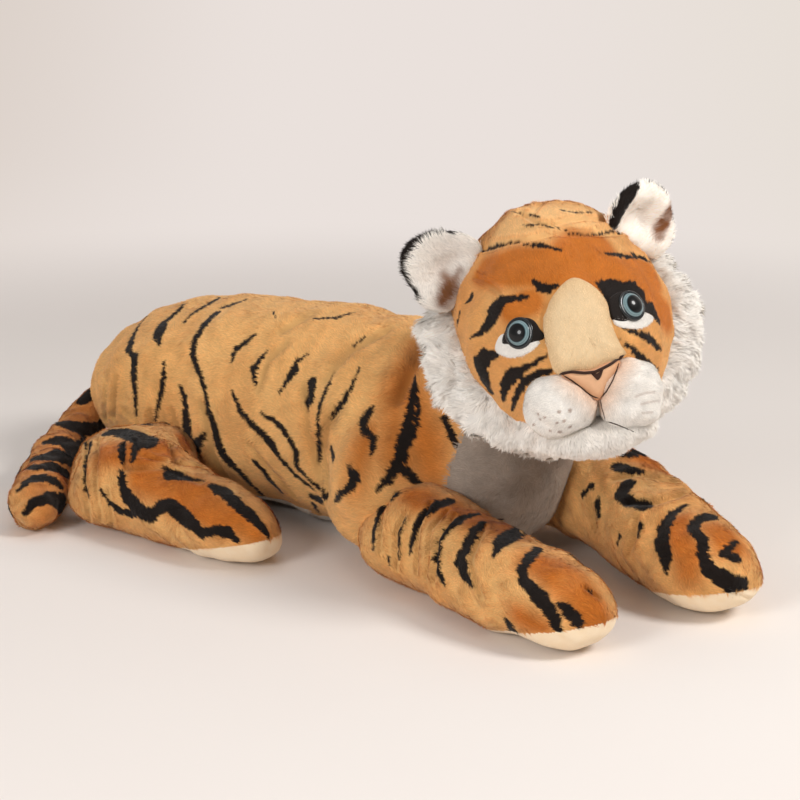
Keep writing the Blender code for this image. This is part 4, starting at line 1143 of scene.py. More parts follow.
# The white chest panel is painted darker and warmer: painted shade under the head and ruff
def paint_chest(roots, twins, seen):
    values, share = paint_white(roots, twins, seen)
    values[:, 1] = CHEST_SHADE_WARMTH
    values[:, 2] = 1 - CHEST_SHADE_WARMTH
    values[:, 3] *= CHEST_PAINTED_SHADE
    return values, share


# How dark and how warm the chest's painted shade is
CHEST_PAINTED_SHADE = 0.44
CHEST_SHADE_WARMTH = 0.32
chest_plane = Vector((math.cos(CHEST_SEAM_TILT), 0, -math.sin(CHEST_SEAM_TILT)))
chest_point = Vector(
    (
        (1 - TORSO_ORIGIN_SHARE) * TORSO_LENGTH - CHEST_SEAM_BACK,
        0,
        TORSO_HEIGHT / 2,
    )
)
on_chest = (torso.points - np.array(chest_point)) @ np.array(chest_plane) > 0
by_shoulder = (np.abs(torso.points[:, 1]) > 0.070) & (torso.points[:, 0] > 0.02)
on_belly = (torso.points[:, 2] < BELLY_SEAM_HEIGHT) & ~on_chest & ~by_shoulder
on_cover = ~on_chest & ~on_belly


def face_groups(skin, masks):
    """Each face goes to the one region that holds its first corner."""
    return [mask[skin.faces[:, 0]] for mask in masks]


torso_faces, belly_faces, chest_faces = face_groups(torso, (on_cover, on_belly, on_chest))
torso_colours = paint_torso(torso.points, torso.twins, torso.seen)[0]
white_colours = paint_white(torso.points, torso.twins, torso.seen)[0]
chest_colours = paint_chest(torso.points, torso.twins, torso.seen)[0]
show_skin("torso_skin", torso, torso_faces, torso_colours, "torso",
          ("torso_cover", "torso_filling"))
show_skin("belly_skin", torso, belly_faces, white_colours, "torso",
          ("belly_panel",))
show_skin("chest_skin", torso, chest_faces, chest_colours, "torso",
          ("chest_panel",))
clear_of_floor = torso.points[:, 2] > 0.003
DENSITY = 450e3
PILE_LENGTH = 0.0070
PILE_WIDTH = 0.0011
PILE_LIFT = math.radians(22)
grow("torso_pile", torso, on_cover & clear_of_floor, paint_torso, "torso",
     DENSITY, PILE_LENGTH, PILE_WIDTH, PILE_LIFT, 101)
grow("chest_pile", torso, on_chest & clear_of_floor, paint_chest, "torso",
     DENSITY * 1.2, 0.0075, 0.0010, math.radians(22), 102, root_to_tip_shade=(0.95, 1.04), lean=0.1)
grow("belly_pile", torso, on_belly & clear_of_floor, paint_white, "torso",
     DENSITY, 0.008, 0.0011, math.radians(26), 103)


# Legs

def front_places(shares, side):
    length, width, height = FRONT_LEG
    ahead0, side0, _ = SHOULDER
    return [
        (
            (ahead0 + ahead * length, side * (side0 + out * length), up * height),
            wide * width / 2,
            tall * height / 2,
        )
        for ahead, out, up, wide, tall in shares
    ]


def hind_places(side):
    length, width, height = HIND_LEG
    back, out0 = HEEL
    return [
        (
            (ahead * length - back, side * (out0 + out * width), up * height),
            wide * width / 2,
            tall * height / 2,
        )
        for ahead, out, up, wide, tall in HIND_LEG_SHARES
    ]


SOLE_SHOWN = 0.013


def sole_mask(skin, places):
    """True where the skin is past the slanting seam at the toe."""
    toe, earlier = Vector(places[-1][0]), Vector(places[-4][0])
    heading = math.atan2(toe.y - earlier.y, toe.x - earlier.x)
    turn = Matrix.Rotation(heading, 3, "Z") @ Matrix.Rotation(-SOLE_TILT, 3, "Y")
    upward = np.array(turn @ Vector((0, 0, 1)))
    return (skin.points - np.array((toe.x, toe.y, SOLE_HEIGHT + SOLE_SHOWN))) @ upward < 0


def mirrored(skin):
    """The same skin on the torso's other side."""
    across = np.array((1.0, -1.0, 1.0))
    other = Skin(skin.points * across, skin.faces, skin.uvs, skin.naps * across,
                 skin.twins * across, skin.seen)
    other.turn_over()
    return other


# Stuffing that fills the elbow beside the shoulder, draws the hind leg's root in to the hip and
# squares its heel, as (centre, radius, height, way), by the start of the leg's name
LEG_MOUNDS = {
    "front": (((0.205, -0.150, 0.045), 0.060, 0.022, (-0.8, 0.5, -0.2)),),
    "hind_": (((-0.170, -0.135, 0.062), 0.078, 0.052, (-0.15, -1.0, 0.0)),
              ((-0.140, -0.262, 0.030), 0.070, 0.022, (-0.6, 0.7, -0.3)),
              ((-0.120, -0.255, 0.095), 0.070, 0.010, (-0.2, 0.4, 0.6))),
}


def leg(label, places, view, strokes, deep, folds, depths, seed, flip=False):
    """A leg's skin, sole and pile. flip makes it the mirror of the one that is drawn."""
    skin = stuffed(places, LEG_SIDES, LEG_SQUARENESS, 150)
    wobble(skin, 77, ((0.0012, 0.07), (0.0006, 0.028)))
    for mound in LEG_MOUNDS[label[:5]]:
        swell(skin, *mound)
    press(skin, view, folds, depths)
    above_floor(skin)
    tree = skin.tree()
    dark_lines = Strokes(tree, view, strokes)
    deep_lines = Strokes(tree, view, deep)
    creases = Strokes(tree, view, folds)
    on_sole = sole_mask(skin, places)
    across = np.array((1.0, -1.0 if flip else 1.0, 1.0))
    if flip:
        skin = mirrored(skin)

    def paint(roots, twins, seen):
        spots = np.where(seen[:, None], roots, twins) * across
        dark = frayed(dark_lines.depth(spots), roots, seed + 3)
        share = deep_lines.share(spots, 0.020)
        share = np.clip(share + 0.08 * ripple(roots, 0.05, seed + 4), 0, 1)
        shade = 1.0 + 0.04 * ripple(roots, 0.02, seed + 5)
        # painted shade in the leg's creases
        shade -= CREASE_PAINTED_SHADE * creases.share(spots, 0.006)
        return pile_values(dark, share, np.zeros(len(roots)), shade), np.ones(len(roots))

    sole_faces = on_sole[skin.faces[:, 0]]
    colours = paint(skin.points, skin.twins, skin.seen)[0]
    show_skin(f"{label}_skin", skin, ~sole_faces, colours, label,
              (f"{label}_cover", f"{label}_filling"))
    show_skin(f"{label}_sole_skin", skin, sole_faces, colours, label,
              (f"{label}_sole",), SOLE_MATERIAL)
    grow(f"{label}_pile", skin, ~on_sole & (skin.points[:, 2] > 0.003), paint, label,
         DENSITY * 1.1, PILE_LENGTH, PILE_WIDTH, PILE_LIFT, seed)
    return skin


def smooth_fabric(name, colour, edge, scale, strength, sheen, rough):
    """Short-napped fabric: soft blotches, a fine grain and a slight warmth."""
    nodes = Nodes(name)
    blotch = nodes.noise(scale / 8, 3.0)
    tone = nodes.mix(nodes.math("MULTIPLY", blotch, 0.8, clamp=True), linear(colour),
                     linear(edge))
    nodes.bump(nodes.noise(scale, 4.0, 0.7), strength, 0.0015)
    return nodes.finish(tone, rough, sheen, 0.25)


SOLE_MATERIAL = smooth_fabric("sole_fleece", "sole", "cream", 900.0, 0.35, 0.2, 0.8)

right_places = front_places(RIGHT_LEG_SHARES, -1)
left_places = front_places(LEFT_LEG_SHARES, 1)
leg("front_leg_right", right_places, LEGS_VIEW, NEAR_LEG_STRIPES, NEAR_LEG_DEEP,
    NEAR_LEG_FOLDS, NEAR_LEG_FOLD_DEPTHS, 201)
leg("front_leg_left", left_places, LEGS_VIEW, FAR_LEG_STRIPES, FAR_LEG_DEEP,
    FAR_LEG_FOLDS, FAR_LEG_FOLD_DEPTHS, 221)
leg("hind_leg_right", hind_places(-1), BODY_VIEW, HIND_STRIPES, HIND_DEEP, HIND_FOLDS,
    HIND_FOLD_DEPTHS, 241)
leg("hind_leg_left", hind_places(-1), BODY_VIEW, HIND_STRIPES, HIND_DEEP, HIND_FOLDS,
    HIND_FOLD_DEPTHS, 261, flip=True)


# Tail

TAIL_BANDS = (
    ((395, 460, 40), (350, 505, 60), (325, 525, 34)),
    ((250, 610, 30), (300, 632, 50), (360, 637, 54), (415, 620, 30)),
    ((185, 690, 22), (240, 685, 36), (290, 705, 56), (330, 740, 60), (340, 700, 36)),
    ((135, 755, 22), (200, 745, 42), (260, 742, 54), (305, 752, 30)),
    ((120, 790, 20), (180, 785, 32), (230, 797, 44), (268, 818, 22)),
    ((75, 880, 14), (110, 845, 24), (170, 830, 32), (220, 842, 32), (242, 866, 16)),
    ((100, 975, 26), (135, 930, 44), (190, 912, 50), (240, 926, 48), (254, 970, 26)),
    ((290, 795, 14), (310, 805, 16)),
)
TAIL_DEEP = (
    ((380, 420, 90), (300, 600, 110), (200, 740, 120), (160, 880, 130), (180, 980, 80)),
)
tail = stuffed(
    [
        (
            (
                ahead * TAIL_LENGTH - TAIL_ROOT[0],
                -TAIL_ROOT[1] - out * TAIL_LENGTH,
                up * TAIL_WIDTH,
            ),
            width * TAIL_WIDTH / 2,
            width * TAIL_WIDTH / 2,
        )
        for ahead, out, up, width in TAIL_SHARES
    ],
    TAIL_SIDES, 1.0, 90,
)
wobble(tail, 301, ((0.0016, 0.05), (0.0007, 0.02)))
above_floor(tail)
tail_tree = tail.tree()
tail_dark = Strokes(tail_tree, BODY_VIEW, TAIL_BANDS)
tail_deep = Strokes(tail_tree, BODY_VIEW, TAIL_DEEP)


def paint_tail(roots, twins, seen):
    places = np.where(seen[:, None], roots, twins)
    dark = frayed(tail_dark.depth(places), roots, 311)
    deep = tail_deep.share(places, 0.02) * 0.7
    shade = 0.97 + 0.05 * ripple(roots, 0.02, 312)
    return pile_values(dark, deep, np.zeros(len(roots)), shade), np.ones(len(roots))


show_skin("tail_skin", tail, EVERYWHERE,
          paint_tail(tail.points, tail.twins, tail.seen)[0], "tail",
          ("tail_cover", "tail_filling"))
grow("tail_pile", tail, tail.points[:, 2] > 0.002, paint_tail, "tail",
     DENSITY * 1.1, PILE_LENGTH, PILE_WIDTH, PILE_LIFT, 303)

# Head

HEAD = (
    Matrix.Translation(HEAD_PLACE)
    @ Matrix.Rotation(HEAD_YAW, 4, "Z")
    @ Matrix.Rotation(-HEAD_PITCH, 4, "Y")
    @ Matrix.Rotation(HEAD_ROLL, 4, "X")
)
HEAD_TURN = np.array(HEAD.to_3x3())
HEAD_SHIFT = np.array(HEAD.to_translation())
SNOUT_WAY = np.array((math.cos(SNOUT_DROP), 0, -math.sin(SNOUT_DROP)))


def to_world(local):
    return np.asarray(local) @ HEAD_TURN.T + HEAD_SHIFT


def to_local(world):
    return (np.asarray(world) - HEAD_SHIFT) @ HEAD_TURN


def way_to_world(local):
    return np.asarray(local) @ HEAD_TURN.T


def head_reach(ways):
    """The head's radius in each unit direction: a ball, a fuller crown and a snout."""
    crown = CROWN_SWELL * np.maximum(ways[:, 2], 0) ** 2
    away = np.arccos(np.clip(ways @ SNOUT_WAY, -1, 1)) / SNOUT_SPREAD
    return HEAD_RADIUS + crown + SNOUT_SWELL * np.exp(-(away**2) / 2)


def ball_ways(level):
    """Even directions over a ball, with its triangles."""
    bm = bmesh.new()
    bmesh.ops.create_icosphere(bm, subdivisions=level, radius=1)
    ways = np.array([vertex.co for vertex in bm.verts])
    faces = np.array([[vertex.index for vertex in face.verts] for face in bm.faces])
    bm.free()
    return unit(ways), faces[:, [0, 1, 2, 2]]


def boxed_uvs(ways, faces):
    """Each face's place on one of six tiles of the bake, by the side that it looks to."""
    middle = ways[faces[:, :3]].mean(1)
    axis = np.abs(middle).argmax(1)
    row = np.arange(len(faces))
    positive = middle[row, axis] > 0
    tile = axis * 2 + positive
    spots = ways[faces]
    scaled = spots / np.maximum(
        np.abs(np.take_along_axis(spots, axis[:, None, None].repeat(4, 1), 2)), 1e-6
    )
    other = np.array(((1, 2), (0, 2), (0, 1)))[axis]
    pair = np.take_along_axis(scaled, other[:, None, :].repeat(4, 1), 2)
    pair = np.clip(pair * 0.42 + 0.5, 0.01, 0.99)
    corner = np.column_stack((tile % 3, tile // 3))[:, None]
    return (pair + corner) / np.array((3, 2))


# White fabric that reaches in from the ruff, and the paler crown, in the head's enlarged view
FACE_EDGE = (
    ((205, 640, 70), (222, 720, 84), (232, 820, 92), (252, 930, 88), (318, 1050, 72),
     (400, 1160, 60), (500, 1265, 50)),
    ((960, 1190, 110), (1010, 1260, 170), (1060, 1330, 170)),
)
CROWN_PALE = (
    ((560, 270, 90), (700, 240, 110), (860, 250, 110), (1000, 280, 90)),
    ((480, 370, 60), (620, 350, 60), (780, 320, 60)),
)
CHEEK_FROM = 0.050
CHEEK_SHARE = 0.82
CROWN_DENTS = ((0.30, 0.60, 0.74), 0.48, 0.012)


def slimmed(spots, ways):
    """The head's surface with its cheeks drawn in and the crown's two sides lowered."""
    spots = spots.copy()
    wide = np.abs(spots[:, 1])
    past = np.maximum(wide - CHEEK_FROM, 0)
    way, spread, depth = CROWN_DENTS
    for side in (-1, 1):
        aside = np.arccos(np.clip(ways @ unit(np.array(way) * (1, side, 1)), -1, 1)) / spread
        spots -= ways * (depth * np.exp(-(aside**2)))[:, None]
    spots[:, 1] = np.sign(spots[:, 1]) * (np.abs(spots[:, 1]) - past * (1 - CHEEK_SHARE))
    return spots


ways, ball_faces = ball_ways(7)
local = slimmed(ways * head_reach(ways)[:, None], ways)
away = ways - SNOUT_WAY * (ways @ SNOUT_WAY)[:, None]
away[:, 0] -= 0.25
head = Skin(to_world(local), ball_faces, boxed_uvs(ways, ball_faces), way_to_world(unit(away)),
            to_world(local * np.array((1, -1, 1))), np.ones(len(ways), bool))
wobble(head, 401, ((0.0012, 0.07), (0.0005, 0.025)))
press(head, HEAD_VIEW, HEAD_FOLDS, HEAD_FOLD_DEPTHS, False)
head_tree = head.tree()
head_dark = Strokes(head_tree, HEAD_VIEW, HEAD_STRIPES)
head_deep = Strokes(head_tree, HEAD_VIEW, HEAD_DEEP)
head_white = Strokes(head_tree, HEAD_VIEW, FACE_EDGE)
head_pale = Strokes(head_tree, HEAD_VIEW, CROWN_PALE)

# Bands over the back of the head, as degrees of (round, up) and millimetres of width
HEAD_BACK_BANDS = (
    ((110, 50, 4), (150, 58, 9), (180, 60, 11), (210, 58, 9), (250, 50, 4)),
    ((105, 22, 4), (140, 30, 9), (170, 33, 12), (185, 28, 8)),
    ((255, 24, 4), (220, 32, 9), (195, 34, 11)),
    ((120, 0, 3), (150, 4, 10), (178, 6, 12), (205, 3, 9), (236, 0, 3)),
    ((100, -12, 3), (118, -16, 9), (135, -18, 4)),
    ((260, -12, 3), (242, -16, 9), (225, -18, 4)),
)


def band_lines(bands):
    """Lines on the head through places given as angles round and up."""
    lines = Strokes(head_tree, HEAD_VIEW, ())
    for band in bands:
        turn, rise, wide = along_band(band)
        turn, rise = np.radians(turn), np.radians(rise)
        spots = np.column_stack(
            (np.cos(rise) * np.cos(turn), np.cos(rise) * np.sin(turn), np.sin(rise))
        )
        places = slimmed(spots * head_reach(spots)[:, None], spots)
        lines.lines.append((to_world(places), wide / 2000))
    return lines


head_bands = band_lines(HEAD_BACK_BANDS)


def paint_head(roots, twins, seen):
    dark = np.maximum(head_dark.depth(roots), head_bands.depth(roots))
    dark = frayed(dark, roots, 411)
    deep = head_deep.share(roots, 0.014)
    at = to_local(roots)
    behind = smooth(-at[:, 0], -0.02, 0.05)
    pale = head_pale.share(roots, 0.022)
    deep = np.maximum(deep * 0.95, behind * 0.3) + 0.30 + 0.06 * ripple(roots, 0.05, 412)
    deep = np.clip(deep - pale * 0.5, 0, 1)
    shade = 1.0 + 0.03 * ripple(roots, 0.02, 413) + 0.07 * pale
    under = smooth(-at[:, 2], 0.075, 0.095) * smooth(-at[:, 0], -0.08, -0.02)
    under = np.maximum(under, frayed(head_white.depth(roots), roots, 414))
    under = np.maximum(under, pale * 0.05)
    return pile_values(dark, deep, under, shade), np.ones(len(roots))


on_face = to_local(head.points)[:, 0] > FACE_SEAM_AHEAD
face_faces, back_faces = face_groups(head, (on_face, ~on_face))
head_colours = paint_head(head.points, head.twins, head.seen)[0]
show_skin("face_skin", head, face_faces, head_colours, "head",
          ("face_cover",))
show_skin("head_back_skin", head, back_faces, head_colours, "head",
          ("head_back_cover", "head_filling"))


# Pads laid on the face

# Outlines in the head's enlarged view, going round
BRIDGE_OUTLINE = (
    (868, 566), (925, 585), (985, 630), (1030, 690), (1045, 760), (1065, 830), (1098, 900),
    (1124, 945), (1085, 975), (1020, 1010), (960, 1030), (880, 1035), (820, 1048), (778, 1040),
    (755, 990), (738, 920), (724, 840), (722, 770), (742, 700), (775, 640), (815, 592),
)
PATCH_OUTLINES = {
    "right": ((508, 845), (476, 900), (484, 938), (545, 964), (610, 955), (665, 926),
              (702, 884), (650, 860), (575, 845)),
    "left": ((1060, 762), (1072, 800), (1130, 818), (1190, 820), (1240, 802), (1268, 765),
             (1222, 736), (1160, 740), (1100, 752)),
}
LID_OUTLINES = {
    "right": ((514, 893), (526, 835), (560, 785), (612, 762), (664, 772), (700, 815),
              (726, 862), (692, 882), (620, 903), (562, 902)),
    "left": ((1052, 765), (1038, 700), (1060, 652), (1110, 632), (1160, 645), (1192, 690),
             (1218, 730), (1184, 758), (1130, 788), (1080, 786)),
}


def closed_curve(outline, count):
    """A smooth closed curve through the outline's points."""
    outline = np.array(outline, float)
    number = len(outline)
    at = np.arange(count) / count * number
    whole = np.floor(at).astype(int)
    part = (at - whole)[:, None]
    p0, p1, p2, p3 = (outline[(whole + k) % number] for k in (-1, 0, 1, 2))
    return 0.5 * (
        2 * p1 + (p2 - p0) * part + (2 * p0 - 5 * p1 + 4 * p2 - p3) * part**2
        + (3 * p1 - p0 - 3 * p2 + p3) * part**3
    )


def disc_grid(rings, count):
    """Faces of a disc of rings round a centre point, and the disc's flat UVs."""
    index = 1 + np.arange(rings * count).reshape(rings, count)
    nxt = np.roll(index, -1, axis=1)
    fan = np.stack((np.zeros(count, int), index[0], nxt[0], nxt[0]), 1)
    body = np.stack((index[:-1], index[1:], nxt[1:], nxt[:-1]), -1).reshape(-1, 4)
    angle = 2 * np.pi * np.arange(count) / count
    radius = (np.arange(rings) + 1) / rings
    flat = np.stack((np.cos(angle)[None] * radius[:, None], np.sin(angle)[None]
                     * radius[:, None]), -1).reshape(-1, 2)
    flat = np.concatenate((np.zeros((1, 2)), flat)) * 0.49 + 0.5
    faces = np.concatenate((fan, body))
    return faces, flat[faces]


def laid_pad(outline, tree, height, edge, rings=30, count=140, power=3.0, nap=(0, 0, -1)):
    """A thin puffed pad over a surface, whose outline is drawn through the camera."""
    curve = closed_curve(outline, count)
    middle = curve.mean(0)
    scale, left, top = HEAD_VIEW
    shares = np.concatenate(([0], np.repeat((np.arange(rings) + 1) / rings, count)))
    around = np.concatenate((middle[None], np.tile(curve, (rings, 1))))
    pixels = middle + (around - middle) * shares[:, None]
    points, outward = [], []
    for across, down in pixels:
        hit, normal, _, _ = tree.ray_cast(
            camera_place, ray_through(across / scale + left, down / scale + top)
        )
        points.append(hit if hit is not None else (np.nan,) * 3)
        outward.append(normal if hit is not None else (0, 0, 1))
    points, outward = np.array(points), np.array(outward)
    rise = edge + height * np.maximum(1 - shares**power, 0) ** 0.5
    rise = np.where(shares > 0.999, -0.001, rise)
    points = points + unit(outward) * rise[:, None]
    faces, uvs = disc_grid(rings, count)
    check = np.cross(points[faces[:, 1]] - points[faces[:, 0]],
                     points[faces[:, 2]] - points[faces[:, 0]])
    naps = way_to_world(np.tile(np.array(nap, float), (len(points), 1)))
    pad = Skin(points, faces, uvs, naps, points, np.ones(len(points), bool))
    if (check * outward[faces[:, 0]]).sum() < 0:
        pad.turn_over()
    return pad, shares


CREAM_MATERIAL = tinted("cream_pile", "cream", "cream", "cream_warm", "peach", "lip",
                        bump=0.3)
WHITE_MATERIAL = tinted("white_pile", "white", "white", "peach", "brown", "lip", bump=0.3)
# The ear's brown share is painted shade in its hollow
EAR_MATERIAL = tinted("ear_pile", "white", "white", "brown", "tan", "black", bump=0.3)
BLACK_MATERIAL = tinted("black_pile", "black", "black", "black", "black", "black", bump=0.5)
NOSE_MATERIAL = tinted("nose_suede", "nose", "nose", "nose_rim", "peach", "lip", bump=0.5,
                       bump_scale=1400.0, rough=0.75)
# The thread material also colours the philtrum's line, which is painted shade
THREAD_MATERIAL = tinted("thread", "lip", "lip", "lip", "lip", "lip", bump=0.5,
                         bump_scale=900.0)


def plain_values(count, green=0.0, blue=0.0, red=0.0, shade=1.0):
    return pile_values(*(np.broadcast_to(v, count) for v in (red, green, blue, shade)))


bridge, bridge_shares = laid_pad(BRIDGE_OUTLINE, head_tree, 0.0070, 0.0012, 44, 200,
                                 nap=(0.2, 0, -1))
bridge_edge = smooth(bridge_shares, 0.6, 1.0)
show_skin("nose_bridge_skin", bridge, EVERYWHERE,
          plain_values(len(bridge.points), green=bridge_edge * 0.6), "head",
          ("nose_bridge",), CREAM_MATERIAL)


def paint_bridge(roots, twins, seen):
    at = to_local(roots)
    low = smooth(-at[:, 2], 0.0, 0.03)
    return (plain_values(len(roots), green=low * 0.5 + 0.1 * ripple(roots, 0.02, 5),
                         shade=1 + 0.03 * ripple(roots, 0.01, 6)), np.ones(len(roots)))


grow("nose_bridge_pile", bridge, bridge_shares < 0.985, paint_bridge, "head",
     900e3, 0.0034, 0.0008, math.radians(24), 501, material=CREAM_MATERIAL)
for label in ("right", "left"):
    patch, patch_shares = laid_pad(PATCH_OUTLINES[label], head_tree, 0.0016, 0.0008, 16, 90)
    show_skin(f"eye_patch_{label}_skin", patch, EVERYWHERE,
              plain_values(len(patch.points)), "head",
              (f"eye_patch_{label}",), WHITE_MATERIAL)
    grow(f"eye_patch_{label}_pile", patch, patch_shares < 0.97, paint_white, "head",
         1000e3, 0.0032, 0.0008, math.radians(24), 511)
    lid, lid_shares = laid_pad(LID_OUTLINES[label], head_tree, 0.0016, 0.0016, 16, 90)
    show_skin(f"eye_lid_{label}_skin", lid, EVERYWHERE,
              plain_values(len(lid.points), red=1.0), "head",
              (f"eye_lid_{label}",), BLACK_MATERIAL)


# Eyes

EYE_BLACK_RADIUS = 0.0148
IRIS_RADIUS = 0.0122
EYE_ROUND = 96
EYE_RISE_HEIGHT = 0.0062


def on_head(side_angle, rise_angle):
    way = np.array([[math.cos(rise_angle) * math.cos(side_angle),
                     math.cos(rise_angle) * math.sin(side_angle), math.sin(rise_angle)]])
    return (way * head_reach(way)[:, None])[0]


def eye_frame(side):
    """A frame on the head's surface at an eye, with Z along the eye's axis."""
    step = math.radians(3)
    across = on_head(side * EYE_SIDE + step, EYE_RISE) - on_head(side * EYE_SIDE - step, EYE_RISE)
    rise = on_head(side * EYE_SIDE, EYE_RISE + step) - on_head(side * EYE_SIDE, EYE_RISE - step)
    normal = unit(np.cross(across, rise))
    right = unit(across)
    up = np.cross(normal, right)
    turn = np.column_stack((right, up, normal))
    place = on_head(side * EYE_SIDE, EYE_RISE)
    return lambda spots: to_world(np.asarray(spots) @ turn.T + place)


def lathe(name, profile, frame_of, material, body, nodes=(), values=None):
    """A turned piece from (radius, height) pairs, its UVs a disc."""
    profile = np.array(profile, float)
    angle = 2 * np.pi * np.arange(EYE_ROUND) / EYE_ROUND
    spots = np.stack((profile[:, 0, None] * np.cos(angle), profile[:, 0, None] * np.sin(angle),
                      np.repeat(profile[:, 1, None], EYE_ROUND, 1)), -1).reshape(-1, 3)
    index = np.arange(len(spots)).reshape(len(profile), EYE_ROUND)
    nxt = np.roll(index, -1, axis=1)
    faces = np.stack((index[:-1], index[1:], nxt[1:], nxt[:-1]), -1).reshape(-1, 4)
    share = np.arange(len(profile)) / (len(profile) - 1) * 0.48 + 0.01
    flat = np.stack((share[:, None] * np.cos(angle) + 0.5, share[:, None] * np.sin(angle) + 0.5),
                    -1).reshape(-1, 2)
    mesh, used = new_mesh(name, frame_of(spots), faces, flat[faces])
    if values is not None:
        colour_attribute(mesh, "pile", values(spots[used]))
    return add_piece(name, mesh, body, material, nodes)


def gloss(name, colour, rough, coat):
    """Shiny plastic."""
    nodes = Nodes(name)
    tone = nodes.mix(nodes.math("MULTIPLY", nodes.noise(300.0), 0.25), linear(colour),
                     linear("iris_dark"))
    return nodes.finish(tone, rough, 0.0, 0.5, coat, 0.05)


def iris_material():
    """Fine spokes from the pupil out, a dark edge and a paler middle ring."""
    nodes = Nodes("eye_iris")
    pile = nodes.add("ShaderNodeAttribute", attribute_name="pile")
    shares = nodes.add("ShaderNodeSeparateColor", {"Color": pile.outputs["Color"]})
    spoke = nodes.add("ShaderNodeCombineXYZ", {"X": nodes.math(
        "MULTIPLY", shares.outputs["Green"], 40.0), "Y": nodes.math(
        "MULTIPLY", shares.outputs["Blue"], 40.0), "Z": nodes.math(
        "MULTIPLY", shares.outputs["Red"], 1.2)})
    grain = nodes.add("ShaderNodeTexNoise", {"Vector": spoke.outputs[0], "Scale": 1.0,
                                             "Detail": 3.0}).outputs["Fac"]
    ramp = nodes.add("ShaderNodeValToRGB", {"Fac": shares.outputs["Red"]})
    stops = ((0.67, "pupil"), (0.70, "iris_dark"), (0.73, "iris"), (0.79, "iris_light"),
             (0.84, "iris"), (0.91, "iris_light"), (0.95, "iris_dark"), (0.985, "rim"))
    while len(ramp.color_ramp.elements) < len(stops):
        ramp.color_ramp.elements.new(0.5)
    for element, (place, colour) in zip(ramp.color_ramp.elements, stops):
        element.position = place
        element.color = linear(colour)
    past_pupil = nodes.math("GREATER_THAN", shares.outputs["Red"], 0.70)
    spokes = nodes.math("MULTIPLY", nodes.math("MULTIPLY", grain, 0.9, clamp=True), past_pupil)
    dark = nodes.mix(spokes, ramp.outputs["Color"], linear("iris_dark"))
    tone = nodes.mix(0.55, ramp.outputs["Color"], dark)
    return nodes.finish(tone, 0.3, 0.0, 0.15, 0.5)


IRIS_MATERIAL = iris_material()
RIM_MATERIAL = gloss("eye_rim", "rim", 0.25, 0.3)


def iris_values(spots):
    radius = np.hypot(spots[:, 0], spots[:, 1])
    angle = np.arctan2(spots[:, 1], spots[:, 0])
    return pile_values(radius / IRIS_RADIUS, np.cos(angle) * 0.5 + 0.5,
                       np.sin(angle) * 0.5 + 0.5, np.ones(len(spots)))


for side, label in ((-1, "right"), (1, "left")):
    frame_of = eye_frame(side)
    bottom = 0.0022
    rim = [(EYE_BLACK_RADIUS - 0.0006, -0.0022), (EYE_BLACK_RADIUS, 0.0),
           (EYE_BLACK_RADIUS, bottom)]
    rim += [(IRIS_RADIUS + (EYE_BLACK_RADIUS - IRIS_RADIUS) * math.cos(a),
             bottom + 0.0016 * math.sin(a)) for a in np.linspace(0.15, math.pi / 2, 8)]
    rim += [(IRIS_RADIUS - 0.0002, bottom + 0.0006), (IRIS_RADIUS - 0.0004, bottom)]
    lathe(f"eye_rim_{label}", rim, frame_of, RIM_MATERIAL, "head",
          (f"eye_base_{label}", f"eye_washer_{label}"))
    dome = [(IRIS_RADIUS * share, bottom + 0.0006 + EYE_RISE_HEIGHT * (1 - share**2) ** 0.7)
            for share in np.sin(np.linspace(math.pi / 2, 0.0005, 60))]
    lathe(f"eye_dome_{label}_painted", dome, frame_of, IRIS_MATERIAL, "head",
          (f"eye_dome_{label}",), values=iris_values)


# Muzzles, chin and nose

MUZZLE_DOTS = (
    (690, 1245, 12), (795, 1235, 14), (850, 1228, 15), (700, 1272, 9), (785, 1290, 10),
    (820, 1280, 12), (800, 1335, 12), (850, 1310, 9), (705, 1355, 7), (668, 1300, 8),
    (750, 1330, 8), (722, 1262, 7),
)
MUZZLE_LINES = (
    ((1178, 1158, 7), (1225, 1140, 9), (1272, 1136, 6)),
    ((1208, 1196, 7), (1250, 1184, 9), (1300, 1180, 6)),
    ((1210, 1240, 6), (1262, 1236, 6)),
)
PEACH = (
    ((840, 1070, 50), (900, 1110, 60), (950, 1150, 60), (1000, 1190, 50)),
    ((1120, 990, 60), (1080, 1050, 60), (1050, 1110, 60), (1020, 1170, 50)),
)


def ball_pad(centre, size, seed, level=6, amount=0.0010, power=1.0):
    """An egg-shaped stuffed pad in the head's frame."""
    pad_ways, pad_faces = ball_ways(level)
    shape = np.sign(pad_ways) * np.abs(pad_ways) ** power
    spots = shape * np.array(size) / 2 + np.array(centre)
    pad = Skin(to_world(spots), pad_faces, boxed_uvs(pad_ways, pad_faces),
               way_to_world(np.tile((-0.2, 0.0, -1.0), (len(spots), 1))), to_world(spots),
               np.ones(len(spots), bool))
    wobble(pad, seed, ((amount, 0.03),))
    return pad


def merged_tree(*skins):
    points, faces, start = [], [], 0
    for skin in skins:
        points += skin.points.tolist()
        faces += (skin.triangles() + start).tolist()
        start += len(skin.points)
    return BVHTree.FromPolygons(points, faces)


